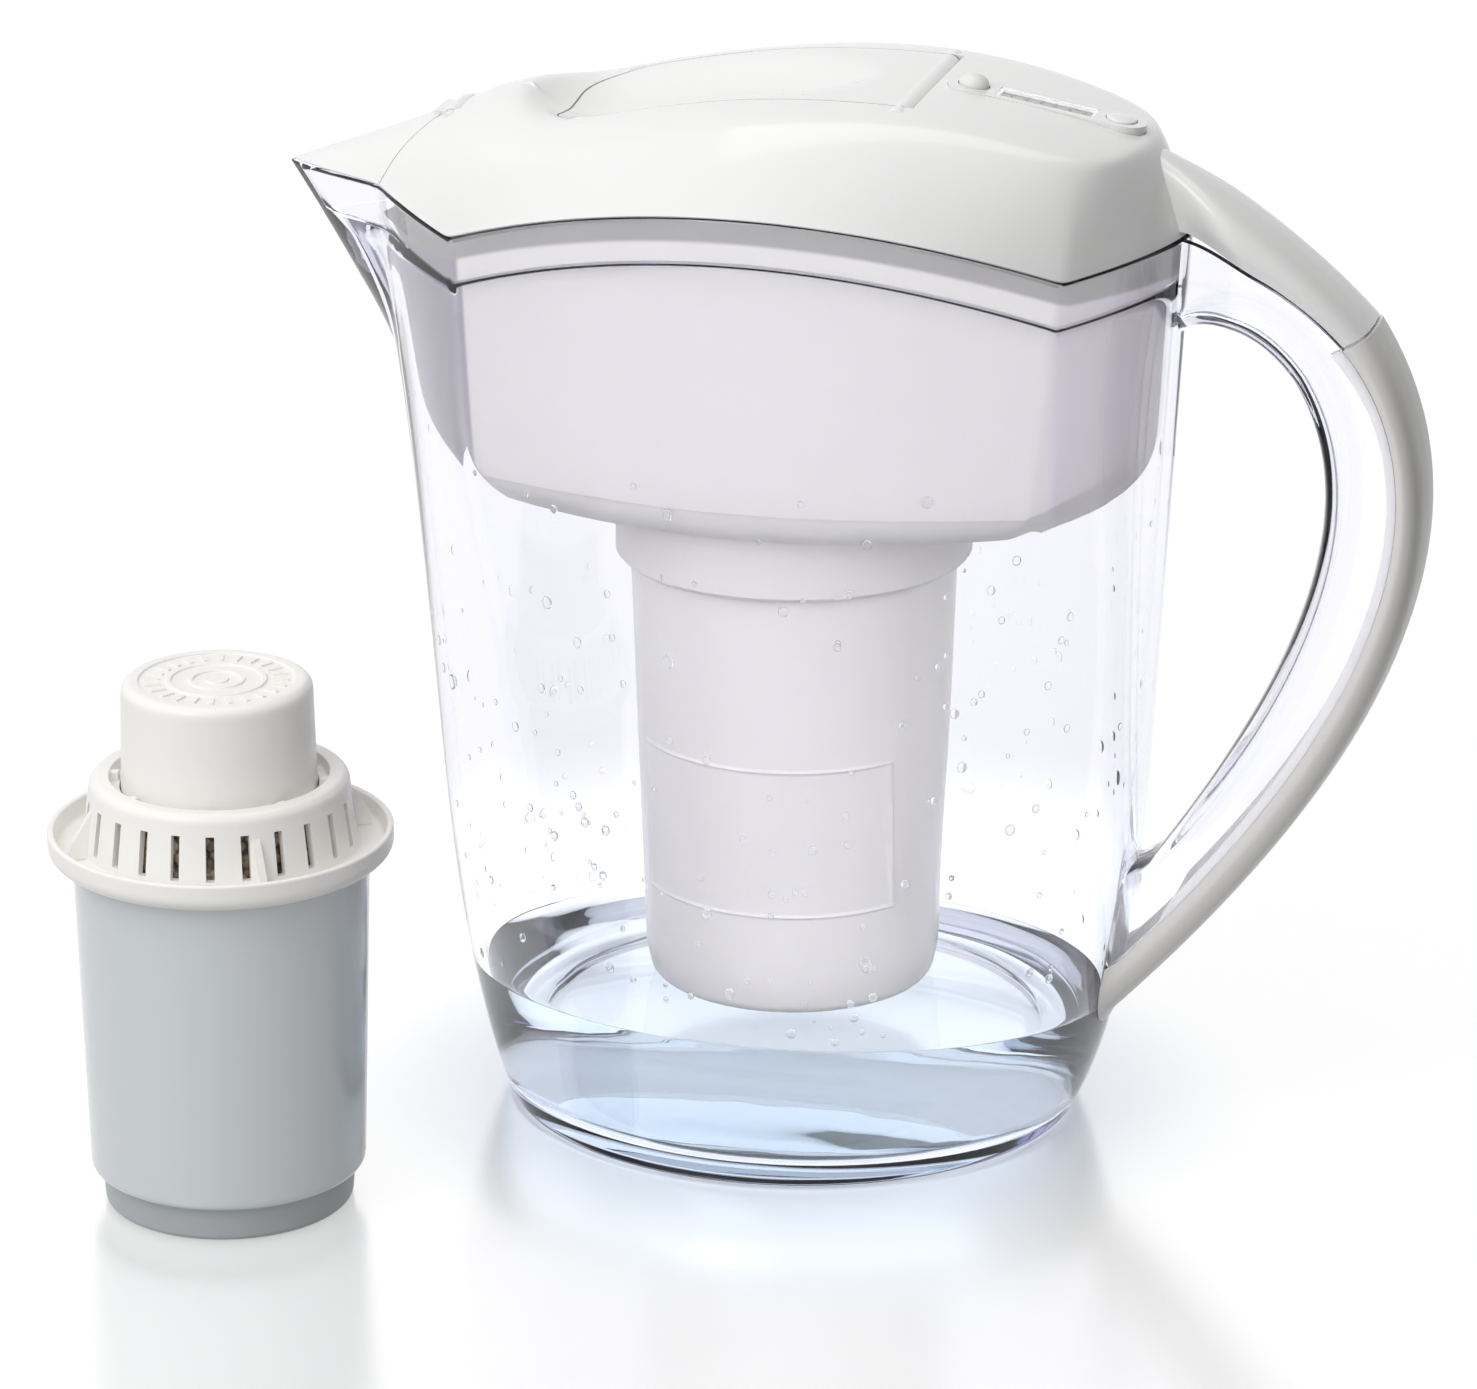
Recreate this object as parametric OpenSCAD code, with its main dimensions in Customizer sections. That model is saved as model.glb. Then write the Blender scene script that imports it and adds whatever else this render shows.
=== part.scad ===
// Water filter pitcher: clear jug and handle, lift-out hopper with its filter sleeve, white lid with a
// flip hatch, a spout flap and a filter-change timer, and the filter cartridge standing beside it.
// X runs from the spout (-X) to the handle (+X), Z is up, and the part is symmetric about the plane y = 0
// apart from the cartridge. The origin is the middle of the jug's base.

/* [Jug] */
// Half length of the foot, along X
base_half_l = 75.8; // [70:0.1:80]
// Half width of the foot, along Y
base_half_w = 70.9; // [66:0.1:75]
// Half length of the body at the rim, on the handle side
rim_half_l = 104; // [100:0.1:108]
// Half width of the body at its waist, just above the foot
waist_half_w = 62; // [61:0.1:65]
// Half width of the body at the rim
rim_half_w = 65.5; // [64:0.1:69]
// Height of the rim at its four corners
rim_h = 241; // [232:0.5:250]
// Rise of the long rims above the corners
rim_arch = 16.5; // [10:0.5:20]
// Rise of the handle-side rim above the corners
back_arch = 4; // [2:0.5:6]
// Rise of the spout lips above the corners
lip_rise = 6; // [4:0.5:8]
// Distance of a rim corner from the middle, along X
corner_x = 80.5; // [77:0.5:84]
// Distance of a rim corner from the middle, along Y
corner_y = 43.5; // [41:0.5:46]
// Thickness of the jug wall
jug_wall = 3.4; // [3:0.1:4]
// Thickness of the wall's upper band, above the ledge that carries the hopper
band_wall = 2; // [1.6:0.1:2.4]
// Thickness of the jug's floor
floor_t = 3.6; // [3:0.1:5]
// Height over which the foot turns into the body
foot_h = 30; // [24:1:36]

/* [Spout] */
// Distance of the spout tip from the jug's middle
spout_reach = 137.2; // [132:0.1:142]
// Half width of the spout where it leaves the body
spout_half_w = 20; // [17:0.5:22]
// Height where the spout's keel leaves the body
keel_z = 195; // [185:1:205]
// Swell of the body's front end below the spout
spout_swell = 13.6; // [10:0.1:16]

/* [Handle] */
// Half width of the handle frame
handle_half_w = 14; // [12:0.1:16]
// Wall of the handle frame's channel
handle_wall = 2.6; // [2:0.1:3.2]
// How far the grip's lips reach into the channel
grip_lip = 4; // [3:0.1:5]
// Wall of the grip
grip_wall = 2.4; // [2:0.1:3]

/* [Hopper] */
// Depth of the hopper's upper band
band_h = 12; // [9:0.5:14]
// Wall of the hopper
hopper_wall = 2.2; // [1.8:0.1:2.8]
// Clear gap between the jug's ledge and the hopper's wall
hopper_gap = 2.4; // [1.5:0.1:3]
// Height of the hopper's floor round the sleeve
hopper_floor_z = 170; // [165:0.5:175]

/* [Filter sleeve] */
// Outer radius of the sleeve at its mouth
sleeve_r = 43.2; // [42.5:0.1:44]
// Outer radius of the sleeve at its foot
sleeve_foot_r = 38.6; // [38:0.1:40]
// Height of the sleeve's underside above the table
sleeve_foot_z = 34; // [28:0.5:42]
// Wall of the sleeve
sleeve_wall = 2; // [1.6:0.1:2.4]
// Radius of the flange that hangs the sleeve in the hopper
sleeve_flange_r = 49.5; // [48:0.1:50.5]
// Outer radius of the collar that clamps the sleeve below the floor
lock_ring_r = 46.4; // [46:0.1:48]
// Height of that collar
lock_ring_h = 18; // [14:0.5:20]

/* [Cartridge] */
// Middle of the cartridge beside the jug, along X
cartridge_x = -122; // [-135:1:-115]
// Middle of the cartridge beside the jug, along Y
cartridge_y = -109.5; // [-120:0.5:-105]
// Radius of the can under its flange
can_r = 37.8; // [37:0.1:38.4]
// Radius of the can above its foot
can_foot_r = 35.4; // [35:0.1:36]
// Radius of the foot's strainer
strainer_r = 32; // [30:0.1:33]
// Height of the strainer
strainer_h = 9; // [7:0.5:11]
// Height of the flange's underside
flange_z = 94; // [90:0.5:98]
// Radius of the flange
flange_r = 44; // [43:0.1:45]
// Height of the flange
flange_h = 7.5; // [6:0.1:9]
// Height of the slotted cone above the flange's underside
cone_h = 22; // [20:0.5:24]
// Number of slots round the cone
slots = 24; // [16:1:30]
// Width of a slot
slot_w = 2.2; // [1.6:0.1:2.6]
// Radius of the knob
knob_r = 25; // [23:0.1:26]
// Height of the knob's top
knob_top_z = 141; // [138:0.5:145]

/* [Lid] */
// Thickness of the lid's shell
lid_wall = 2.4; // [2.2:0.1:2.8]
// Gap between the rim and the lid
lid_gap = 0.3; // [0.3:0.1:0.6]
// Rise of the lid's top above the rim's corners
lid_rise = 39.5; // [38:0.5:42]
// Depth of the finger scoop
scoop_depth = 12; // [9:0.5:14]
// Depth of the liner's skirt below the rim
skirt_h = 6.5; // [5:0.5:8]

/* [Hatch and flap] */
// Front edge of the flip hatch, along X
hatch_front = -60; // [-63:0.5:-57]
// Axis of the hatch's hinge, along X
hatch_hinge_x = 34; // [32:0.5:35]
// Half width of the hatch
hatch_half_w = 27; // [25:0.5:29]
// Gap in the seams of the lid
seam = 0.5; // [0.4:0.1:0.8]
// Radius of the hatch's hinge barrel
barrel_r = 3.2; // [2.8:0.1:3.4]
// Radius of the hatch's hinge pin
pin_r = 1.5; // [1.2:0.1:1.6]
// Axis of the spout flap's hinge, along X
flap_hinge_x = -90.5; // [-92:0.5:-89]
// Radius of the spout flap's hinge barrel
flap_barrel_r = 2.4; // [2.2:0.1:2.6]
// Radius of the spout flap's hinge pin
flap_pin_r = 1.1; // [0.9:0.1:1.2]

/* [Timer] */
// Middle of the timer, along X
timer_x = 66; // [65:0.5:67]
// Distance between the two buttons
button_pitch = 39; // [37:0.5:40]
// Radius of a button
button_r = 3.9; // [3.5:0.1:4]
// Half width of the timer housing
timer_half_w = 6.6; // [6:0.1:7]
// Slope of the timer's face, in degrees
timer_slope = 9.5; // [8:0.5:11]
// Travel of a button
button_travel = 0.8; // [0.5:0.1:1]

/* [Hidden] */
$fn = 96;

clear_colour = [0.86, 0.87, 0.95, 0.35];
frosted_colour = [0.82, 0.82, 0.90, 0.7];
white_colour = [0.95, 0.95, 0.94];
grip_colour = [0.86, 0.85, 0.83];
can_colour = [0.66, 0.71, 0.73];

// Running clearance of a pin in its bore, and the small gap between pieces that are seated on each other
pin_clear = 0.05;
seat = 0.15;

// ---- curves and lofts ----

function mix(a, b, t) = a * (1 - t) + b * t;
function clamp01(t) = min(max(t, 0), 1);
function smooth(t) = let (u = clamp01(t)) u * u * (3 - 2 * u);

// A cubic curve through p[0] and p[3], drawn towards p[1] and p[2]
function bezier(p, t) = pow(1 - t, 3) * p[0] + 3 * t * pow(1 - t, 2) * p[1]
    + 3 * t * t * (1 - t) * p[2] + pow(t, 3) * p[3];

// Triangles between ring i and ring i + 1 of a stack of closed rings
function band_faces(rings, n) = [for (i = [0:rings - 2], j = [0:n - 1])
    let (k = (j + 1) % n, a = i * n + j, b = i * n + k, c = (i + 1) * n + k, d = (i + 1) * n + j)
    each [[a, d, c], [a, c, b]]];

// Solid between the first and last of a stack of closed rings, both closed by a fan round a middle point
module loft(rings) {
    n = len(rings[0]);
    m = len(rings);
    bottom = [for (c = [0:2]) [for (p = rings[0]) p[c]] * [for (p = rings[0]) 1] / n];
    top = [for (c = [0:2]) [for (p = rings[m - 1]) p[c]] * [for (p = rings[m - 1]) 1] / n];
    polyhedron(
        points = [for (r = rings) each r, bottom, top],
        faces = concat(
            band_faces(m, n),
            [for (j = [0:n - 1]) [m * n, j, (j + 1) % n]],
            [for (j = [0:n - 1]) [m * n + 1, (m - 1) * n + (j + 1) % n, (m - 1) * n + j]]));
}

// Ring-shaped solid: the stack of rings comes back to its first ring
module loop_loft(rings) {
    n = len(rings[0]);
    m = len(rings);
    faces = [for (i = [0:m - 1], j = [0:n - 1])
        let (k = (j + 1) % n, i2 = (i + 1) % m,
            a = i * n + j, b = i * n + k, c = i2 * n + k, d = i2 * n + j)
        each [[a, d, c], [a, c, b]]];
    polyhedron(points = [for (r = rings) each r], faces = faces);
}

// Bar along a path: each section is a closed loop whose first half faces its second half,
// so the two ends are closed by a strip across it
module strip_bar(sections) {
    n = len(sections[0]);
    m = len(sections);
    h = n / 2;
    polyhedron(
        points = [for (s = sections) each s],
        faces = concat(
            band_faces(m, n),
            [for (j = [0:h - 2]) each [[j, j + 1, n - 2 - j], [j, n - 2 - j, n - 1 - j]]],
            [for (j = [0:h - 2]) let (o = (m - 1) * n)
                each [[o + j, o + n - 2 - j, o + j + 1], [o + j, o + n - 1 - j, o + n - 2 - j]]]));
}

// Plate between two grids of points of the same size, upper over lower
module slab(upper, lower) {
    m = len(upper);
    n = len(upper[0]);
    k = m * n;
    walls = concat(
        [for (j = [0:n - 2]) [j, j + 1]],
        [for (i = [0:m - 2]) [i * n + n - 1, (i + 1) * n + n - 1]],
        [for (j = [n - 1:-1:1]) [(m - 1) * n + j, (m - 1) * n + j - 1]],
        [for (i = [m - 1:-1:1]) [i * n, (i - 1) * n]]);
    polyhedron(points = concat([for (r = upper) each r], [for (r = lower) each r]), faces = concat(
        [for (i = [0:m - 2], j = [0:n - 2]) let (a = i * n + j, b = a + 1, c = b + n, e = a + n)
            each [[a, e, c], [a, c, b], [k + a, k + c, k + e], [k + a, k + b, k + c]]],
        [for (w = walls) each [[w[0], w[1], w[1] + k], [w[0], w[1] + k, w[0] + k]]]));
}

// ---- plan of the body ----

// The plan has four soft corners. It is stepped by an angle q, 0 at the handle and 180 at the spout,
// with end_n steps over each end and side_n over each long side.
corner_q = 56;
end_n = 16;
side_n = 14;
plan_q = [
    for (i = [0:end_n - 1]) mix(-corner_q, corner_q, i / end_n),
    for (i = [0:side_n - 1]) mix(corner_q, 180 - corner_q, i / side_n),
    for (i = [0:end_n - 1]) mix(180 - corner_q, 180 + corner_q, i / end_n),
    for (i = [0:side_n - 1]) mix(180 + corner_q, 360 - corner_q, i / side_n)];

function at_end(q) = abs(cos(q)) > cos(corner_q) - 0.001;
function end_share(q) = min(abs(sin(q)) / sin(corner_q), 1);
function side_share(q) = cos(q) / cos(corner_q);

// Height share over which the foot's quick swell ends
swell_share = 0.52;
// Bow of the ends: 1 is a straight line from the corner to the middle, 2 a parabola
end_bow = 1.5;
// The ridges below the corners fade in between these heights
ridge_low = 60;
ridge_high = 210;

function half_l(z) = mix(base_half_l, rim_half_l,
    swell_share * (1 - exp(-z / foot_h)) + (1 - swell_share) * z / rim_h);
function half_w(z) = mix(base_half_w, waist_half_w, smooth(z / foot_h))
    + (rim_half_w - waist_half_w) * z / rim_h;
function front_l(z) = half_l(z) + spout_swell * pow(z / rim_h, 3.3);
function cornering(z) = smooth((z - ridge_low) / (ridge_high - ridge_low));

// Nose of the spout at height z: how far it stands out, and its half width
function nose(z) = (spout_reach - front_l(rim_h)) * clamp01((z - keel_z) / (rim_h - keel_z));
function nose_w(z) = spout_half_w * clamp01((z - keel_z + foot_h) / (rim_h - keel_z + foot_h));

// Point of the plan at angle q, with parameter height z, set in by d. A closed nose leaves the spout out.
function plan(q, z, d = 0, spout = true) =
    let (a = (cos(q) > 0 ? half_l(z) : front_l(z)) - d,
        b = half_w(z) - d,
        cx = corner_x * a / rim_half_l * (cos(q) > 0 ? 1 : half_l(z) / front_l(z)),
        cy = corner_y - 0.7 * d,
        s = end_share(q),
        r = side_share(q),
        round_p = [a * cos(q), b * sin(q)],
        edge_p = at_end(q)
            ? [sign(cos(q)) * (a - (a - cx) * pow(s, end_bow)), sign(sin(q)) * cy * s]
            : [cx * r, sign(sin(q)) * (b - (b - cy) * r * r)],
        p = mix(round_p, edge_p, cornering(z)),
        w = max(nose_w(z) - 1.2 * d, 0.1),
        n = spout && cos(q) < 0 ? max(nose(z) - 0.6 * d, 0) * clamp01(1 - abs(p[1]) / w) : 0)
    [p[0] - n, p[1]];

// Height of the rim above its corners at angle q
function rim_rise(q) = !at_end(q) ? rim_arch * (1 - pow(side_share(q), 2))
    : cos(q) > 0 ? back_arch * (1 - end_share(q))
    : lip_rise * clamp01((1 - end_share(q)) / (1 - spout_half_w / corner_y));

// Height at share u of the rim: the rings bend up to the arched rim in the upper part
arch_start = 0.55;
function rise(q, u) = u * rim_h + rim_rise(q) * smooth((u - arch_start) / (1 - arch_start));

// A ring round the body at height share u, set in by d and moved up by dz
function ring(u, d, dz = 0, spout = true) = [for (q = plan_q)
    let (p = plan(q, u * rim_h, d, spout)) [p[0], p[1], rise(q, u) + dz]];

// A ring that follows the rim, moved up by dz, or down along the wall
function rim_ring(d, dz, spout = true) = [for (q = plan_q)
    let (p = plan(q, rim_h + min(dz, 0), d, spout)) [p[0], p[1], rise(q, 1) + dz]];

// X of the jug's outer face on the handle side, at a given Y and Z
function back_x(y, z) = let (a = half_l(z), s = abs(y) / corner_y)
    mix(a * sqrt(1 - pow(y / half_w(z), 2)),
        a - (a - corner_x * a / rim_half_l) * pow(s, end_bow), cornering(z));

// ---- jug ----

// Height shares of the jug's rings; the second and the last but one are the floor and the keel's start
jug_shares = [0.05, 0.1, 0.17, 0.27, 0.4, 0.55, 0.7, 0.81, 0.9];
// Radius of the foot's lower edge
foot_edge = 1.2;
// Fall of the hopper's ledge towards the inside
ledge_fall = 0.4;

module jug_body() {
    outer = [ring(0, foot_edge), ring(floor_t / rim_h, 0), for (u = jug_shares) ring(u, 0),
        rim_ring(0, -band_h), ring(1, 0)];
    inner = [ring(1, band_wall), rim_ring(band_wall, -band_h), rim_ring(jug_wall, -band_h - ledge_fall),
        for (i = [len(jug_shares) - 1:-1:0]) ring(jug_shares[i], jug_wall),
        ring(floor_t / rim_h, jug_wall + 2)];
    color(clear_colour) loft(concat(outer, inner));
}

// ---- handle ----

// The handle's curves in the plane y = 0, as [x, z]: the frame's outer edge from the jug to the grip's
// seam and on to the foot, the edge of the finger hole, and the back of the grip
frame_top = [[103, rim_h + 3], [118, rim_h], [134, rim_h - 8], [146, rim_h - 20.5]];
frame_back = [[146, rim_h - 20.5], [174, rim_h - 53], [166, 128], [89, 47]];
hole_top = [[101, rim_h - 21], [113, rim_h - 15], [124, rim_h - 19], [133, rim_h - 31]];
hole_back = [[133, rim_h - 31], [152, rim_h - 61], [140, 135], [96, 73]];
grip_back = [[152.5, rim_h - 17], [182, rim_h - 63], [170, 116], [85, 29]];
handle_top_steps = 7;
handle_steps = 18;
frame_path = [
    for (i = [0:handle_top_steps - 1]) let (t = i / handle_top_steps)
        [bezier(frame_top, t), bezier(hole_top, t)],
    for (i = [0:handle_steps]) let (t = i / handle_steps)
        [bezier(frame_back, t), bezier(hole_back, t)]];

// Half of the channel's section, as [y share of the half width, share of the way from hole to back]
frame_profile = [[1, 1], [1, 0.6], [0.97, 0.3], [0.84, 0.08], [0.5, -0.02], [0.17, -0.04]];

// Section of the channel between a point of the back edge and a point of the hole's edge
function frame_section(back, hole, wall) =
    let (way = back - hole, l = norm(way),
        half = [for (p = frame_profile) [p[0] * handle_half_w, p[1] * l]],
        half_in = [for (p = frame_profile)
            [max(p[0] * handle_half_w - wall, 0.5), p[1] == 1 ? l : max(p[1] * l, 0) + wall]])
    section_loop(half, half_in, hole, way / l);

// The same section moved along X onto the jug's wall
function on_jug(section) = [for (p = section) [back_x(p[1], p[2]) + seat, p[1], p[2]]];

module handle_frame() {
    n = len(frame_path);
    sections = [for (s = frame_path) frame_section(s[0], s[1], handle_wall)];
    color(clear_colour) strip_bar([for (i = [n - 1:-1:0])
        i == 0 || i == n - 1 ? on_jug(sections[i]) : sections[i]]);
}

// Section of the grip outside the frame, as [share of the half width, share of the way from the frame to
// the back, the same share of its inner face]. Its lips go on into the channel.
grip_profile = [[1, 0, 0.12], [1.03, 0.35, 0.35], [0.88, 0.74, 0.74], [0.57, 0.94, 0.94], [0.06, 1, 1]];
function grip_section(front, back, lip) =
    let (way = back - front, l = norm(way), u = way / l,
        lip_y = handle_half_w - handle_wall - seat,
        half = concat([[lip_y, -lip], [lip_y, seat]],
            [for (p = grip_profile) [p[0] * handle_half_w, p[1] * l + seat]]),
        half_in = concat([[lip_y - grip_wall, -lip], [lip_y - grip_wall, grip_lip / 4]],
            [for (p = grip_profile) [clamp01((p[0] * handle_half_w - grip_wall) / (lip_y - grip_wall))
                * (lip_y - grip_wall - 0.5) + 0.5, p[2] * (l - grip_wall)]]))
    section_loop(half, half_in, front, u);

// Closed loop of a section that is symmetric across y = 0, from its outer and inner half as [y, distance]
function section_loop(half, half_in, start, u) =
    let (full = concat(half, [for (i = [len(half) - 1:-1:0]) [-half[i][0], half[i][1]]]),
        full_in = concat(half_in, [for (i = [len(half) - 1:-1:0]) [-half_in[i][0], half_in[i][1]]]),
        loop = concat(full, [for (i = [len(full_in) - 1:-1:0]) full_in[i]]))
    [for (p = loop) let (c = start + u * p[1]) [c[0], p[0], c[1]]];

module handle_grip() {
    sections = [for (i = [0:handle_steps]) let (t = i / handle_steps)
        grip_section(bezier(frame_back, t), bezier(grip_back, t),
            i > handle_steps - 2 ? 2 * seat : grip_lip)];
    color(grip_colour) strip_bar([for (i = [0:handle_steps])
        i == handle_steps ? on_jug(sections[i]) : sections[i]]);
}

// ---- hopper ----

// The hopper hangs on the jug's ledge by its upper band. Below it the wall stands clear of the jug and
// turns into a bowl round the sleeve.
hopper_clear = 0.5;
hopper_drop = 0.8;
hopper_seat = 0.3;
band_d = band_wall + hopper_clear;
wall_d = jug_wall + hopper_gap;
// The pour gap at the spout: half its width, and how much further in the band stands there
pour_half_w = 25;
pour_inset = 5.5;
sleeve_hole_r = sleeve_r + 0.5;
land_r = lock_ring_r + 3.6;
// Height share of the wall's middle ring. Below it is the round edge between floor and wall, as rows of
// [share of its radius in height, the same inwards, share of the land's circle]; its radius grows from
// the sides to the ends.
wall_share = 0.88;
bowl_r = 8;
bowl_end = 1.5;
bowl = [[0.01, 0.78, 0.5], [0.06, 0.66, 0], [0.234, 0.357, 0], [0.577, 0.094, 0], [1, 0, 0]];

function hopper_ring(d, dz) =
    let (wide = rim_ring(d, dz, false), narrow = rim_ring(d + pour_inset, dz, false))
    [for (i = [0:len(plan_q) - 1]) cos(plan_q[i]) < 0 && abs(wide[i][1]) < pour_half_w ? narrow[i] : wide[i]];
function bowl_ring(row, d, dz) = [for (q = plan_q)
    let (r = bowl_r * (1 + bowl_end * pow(cos(q), 2)), z = hopper_floor_z + r * row[0],
        p = plan(q, z, wall_d + r * row[1] + d, false),
        c = land_r * [cos(q), sin(q)], m = mix(p, c, row[2]))
    [m[0], m[1], z + dz + row[0] * rim_rise(q) * smooth((z / rim_h - arch_start) / (1 - arch_start))]];
function round_ring(r, z) = [for (q = plan_q) [r * cos(q), r * sin(q), z]];

module hopper() {
    n = len(bowl) - 1;
    seat_dz = -band_h + hopper_seat / 2;
    outer = [round_ring(sleeve_hole_r, hopper_floor_z), round_ring(land_r, hopper_floor_z),
        for (i = [0:n]) bowl_ring(bowl[i], 0, 0),
        ring(wall_share, wall_d, 0, false), rim_ring(wall_d, seat_dz - 0.1, false),
        hopper_ring(band_d, seat_dz), hopper_ring(band_d, -hopper_drop)];
    inner = [hopper_ring(band_d + hopper_wall, -hopper_drop),
        hopper_ring(band_d + hopper_wall, seat_dz + hopper_wall),
        rim_ring(wall_d + hopper_wall, seat_dz + hopper_wall - 0.1, false),
        ring(wall_share, wall_d + hopper_wall, 0, false),
        for (i = [n:-1:0]) bowl_ring(bowl[i], hopper_wall, hopper_wall),
        round_ring(land_r, hopper_floor_z + hopper_wall),
        round_ring(sleeve_hole_r, hopper_floor_z + hopper_wall)];
    color(frosted_colour) loop_loft(concat(outer, inner));
}

// ---- filter sleeve ----

seal_h = 1.6;
flange_t = 2.4;
sleeve_top_z = hopper_floor_z + hopper_wall + seal_h + flange_t + 2 * seat;
sleeve_floor_t = 2.5;
sleeve_round = 8;
drain_slots = 8;

// Outer radius of the sleeve at height z
function sleeve_r_at(z) =
    mix(sleeve_foot_r, sleeve_r, (z - sleeve_foot_z) / (hopper_floor_z - sleeve_foot_z));

module filter_sleeve() {
    flange_z0 = sleeve_top_z - flange_t;
    foot_in = sleeve_round * 0.3;
    color(frosted_colour) difference() {
        rotate_extrude() polygon([
            [0, sleeve_foot_z],
            [sleeve_foot_r - sleeve_round, sleeve_foot_z],
            [sleeve_foot_r - foot_in, sleeve_foot_z + foot_in],
            [sleeve_r_at(sleeve_foot_z + sleeve_round), sleeve_foot_z + sleeve_round],
            [sleeve_r, hopper_floor_z],
            [sleeve_r, flange_z0],
            [sleeve_flange_r, flange_z0],
            [sleeve_flange_r, sleeve_top_z],
            [sleeve_r - sleeve_wall, sleeve_top_z],
            [sleeve_r - sleeve_wall, hopper_floor_z],
            [sleeve_r_at(sleeve_foot_z + sleeve_round) - sleeve_wall, sleeve_foot_z + sleeve_round],
            [sleeve_foot_r - sleeve_round, sleeve_foot_z + sleeve_floor_t],
            [0, sleeve_foot_z + sleeve_floor_t]]);
        for (i = [0:drain_slots - 1]) rotate(i * 360 / drain_slots)
            translate([12, -1.2, sleeve_foot_z - 1]) cube([12, 2.4, sleeve_floor_t + 2]);
    }
}

module sleeve_seal() {
    z0 = hopper_floor_z + hopper_wall + seat;
    color([0.78, 0.78, 0.80]) rotate_extrude() translate([sleeve_r + seat + 0.6, z0])
        square([sleeve_flange_r - sleeve_r - 1.5, seal_h]);
}

module sleeve_lock_ring() {
    z0 = hopper_floor_z - seat - lock_ring_h;
    color(frosted_colour) difference() {
        rotate_extrude() polygon([
            [sleeve_r + seat, z0], [lock_ring_r - 1.2, z0], [lock_ring_r, z0 + 1.2],
            [lock_ring_r, z0 + lock_ring_h], [sleeve_r + seat, z0 + lock_ring_h]]);
        for (i = [0:5]) rotate(i * 60) translate([lock_ring_r - 0.6, -2, z0 - 1]) cube([2, 4, 4]);
    }
}

// ---- cartridge ----

can_wall = 1.8;
bed_gap = 0.3;
cone_low_r = 35;
cone_high_r = 33;
cone_wall = 1.8;
// Thickness of the collar's floor and of its top plate, depth and wall of its plug inside the can
collar_t = 3;
cone_top_t = 5;
collar_plug = 5;
plug_wall = 2.4;
// Width of the strainer's foot ring, with the wall inside it, and thickness of its plate
foot_ring = 4;
foot_wall = 2;
foot_rise = 1;
strainer_t = 3;
pad_t = 3;
can_floor_z = strainer_h + 0.2;
cone_top_z = flange_z + cone_h;
bed_split_z = flange_z - 22;

module at_cartridge() {
    translate([cartridge_x, cartridge_y, 0]) children();
}

// Outer radius of the can at height z
function can_r_at(z) = mix(can_foot_r, can_r, (z - strainer_h) / (flange_z - strainer_h));

module cartridge_can() {
    color(can_colour) at_cartridge() rotate_extrude() polygon([
        [strainer_r - foot_ring, can_floor_z],
        [can_foot_r - 1.5, can_floor_z],
        [can_foot_r, can_floor_z + 1.5],
        [can_r, flange_z - seat],
        [can_r - can_wall, flange_z - seat],
        [can_foot_r - can_wall, can_floor_z + can_wall],
        [strainer_r - foot_ring, can_floor_z + can_wall]]);
}

module cartridge_strainer() {
    color(can_colour) at_cartridge() difference() {
        rotate_extrude() polygon([
            [0, foot_rise], [strainer_r - foot_ring, foot_rise], [strainer_r - foot_ring, 0],
            [strainer_r - 1, 0], [strainer_r, 1],
            [strainer_r + 0.6, strainer_h], [strainer_r - foot_ring - seat, strainer_h],
            [strainer_r - foot_ring - seat, can_floor_z + can_wall],
            [strainer_r - foot_ring - foot_wall, can_floor_z + can_wall],
            [strainer_r - foot_ring - foot_wall, strainer_t], [0, strainer_t]]);
        for (i = [0:11]) rotate(i * 30) translate([8, -0.8, 0]) cube([14, 1.6, strainer_t + 2]);
    }
}

module cartridge_collar() {
    slot_h = cone_h - flange_h - collar_t;
    slot_z = flange_z + collar_t + (cone_h - collar_t - slot_h) / 2 - 1.5;
    color(white_colour) at_cartridge() {
        difference() {
            rotate_extrude() polygon([
                [can_r - can_wall - plug_wall, flange_z - collar_plug],
                [can_r - can_wall - seat, flange_z - collar_plug],
                [can_r - can_wall - seat, flange_z],
                [flange_r - 2.5, flange_z],
                [flange_r, flange_z + 2.5],
                [flange_r, flange_z + flange_h],
                [flange_r - 1.6, flange_z + flange_h],
                [flange_r - 2.2, flange_z + collar_t],
                [cone_low_r + 0.4, flange_z + collar_t],
                [cone_high_r, cone_top_z - 1.5],
                [cone_high_r - 1.5, cone_top_z],
                [knob_r + 3, cone_top_z],
                [knob_r + 3, cone_top_z - 3],
                [knob_r + 0.3, cone_top_z - 3],
                [knob_r + 0.3, cone_top_z - cone_top_t],
                [cone_high_r - cone_wall, cone_top_z - cone_top_t],
                [can_r - can_wall - plug_wall, flange_z + 2]]);
            for (i = [0:slots - 1]) rotate(i * 360 / slots)
                translate([cone_high_r - 4, -slot_w / 2, slot_z])
                    cube([8, slot_w, slot_h]);
        }
        for (i = [0:3]) rotate(i * 90 + 35) collar_fin();
        for (i = [0:7]) rotate(i * 45 + 10)
            translate([knob_r + 0.8, -1.2, cone_top_z - 3.01]) cube([2.3, 2.4, 2.2]);
    }
}

// Pointed fin that stands on the cone and centres the cartridge in its seat
module collar_fin() {
    translate([0, 0.9, flange_z + collar_t]) rotate([90, 0, 0]) linear_extrude(1.8) polygon([
        [cone_low_r - 1, 0.2], [cone_low_r + 5, 0], [cone_low_r + 4.2, 4],
        [cone_high_r - 0.5, cone_h - 4.6], [cone_high_r - 1, cone_h - 5]]);
}

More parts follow.
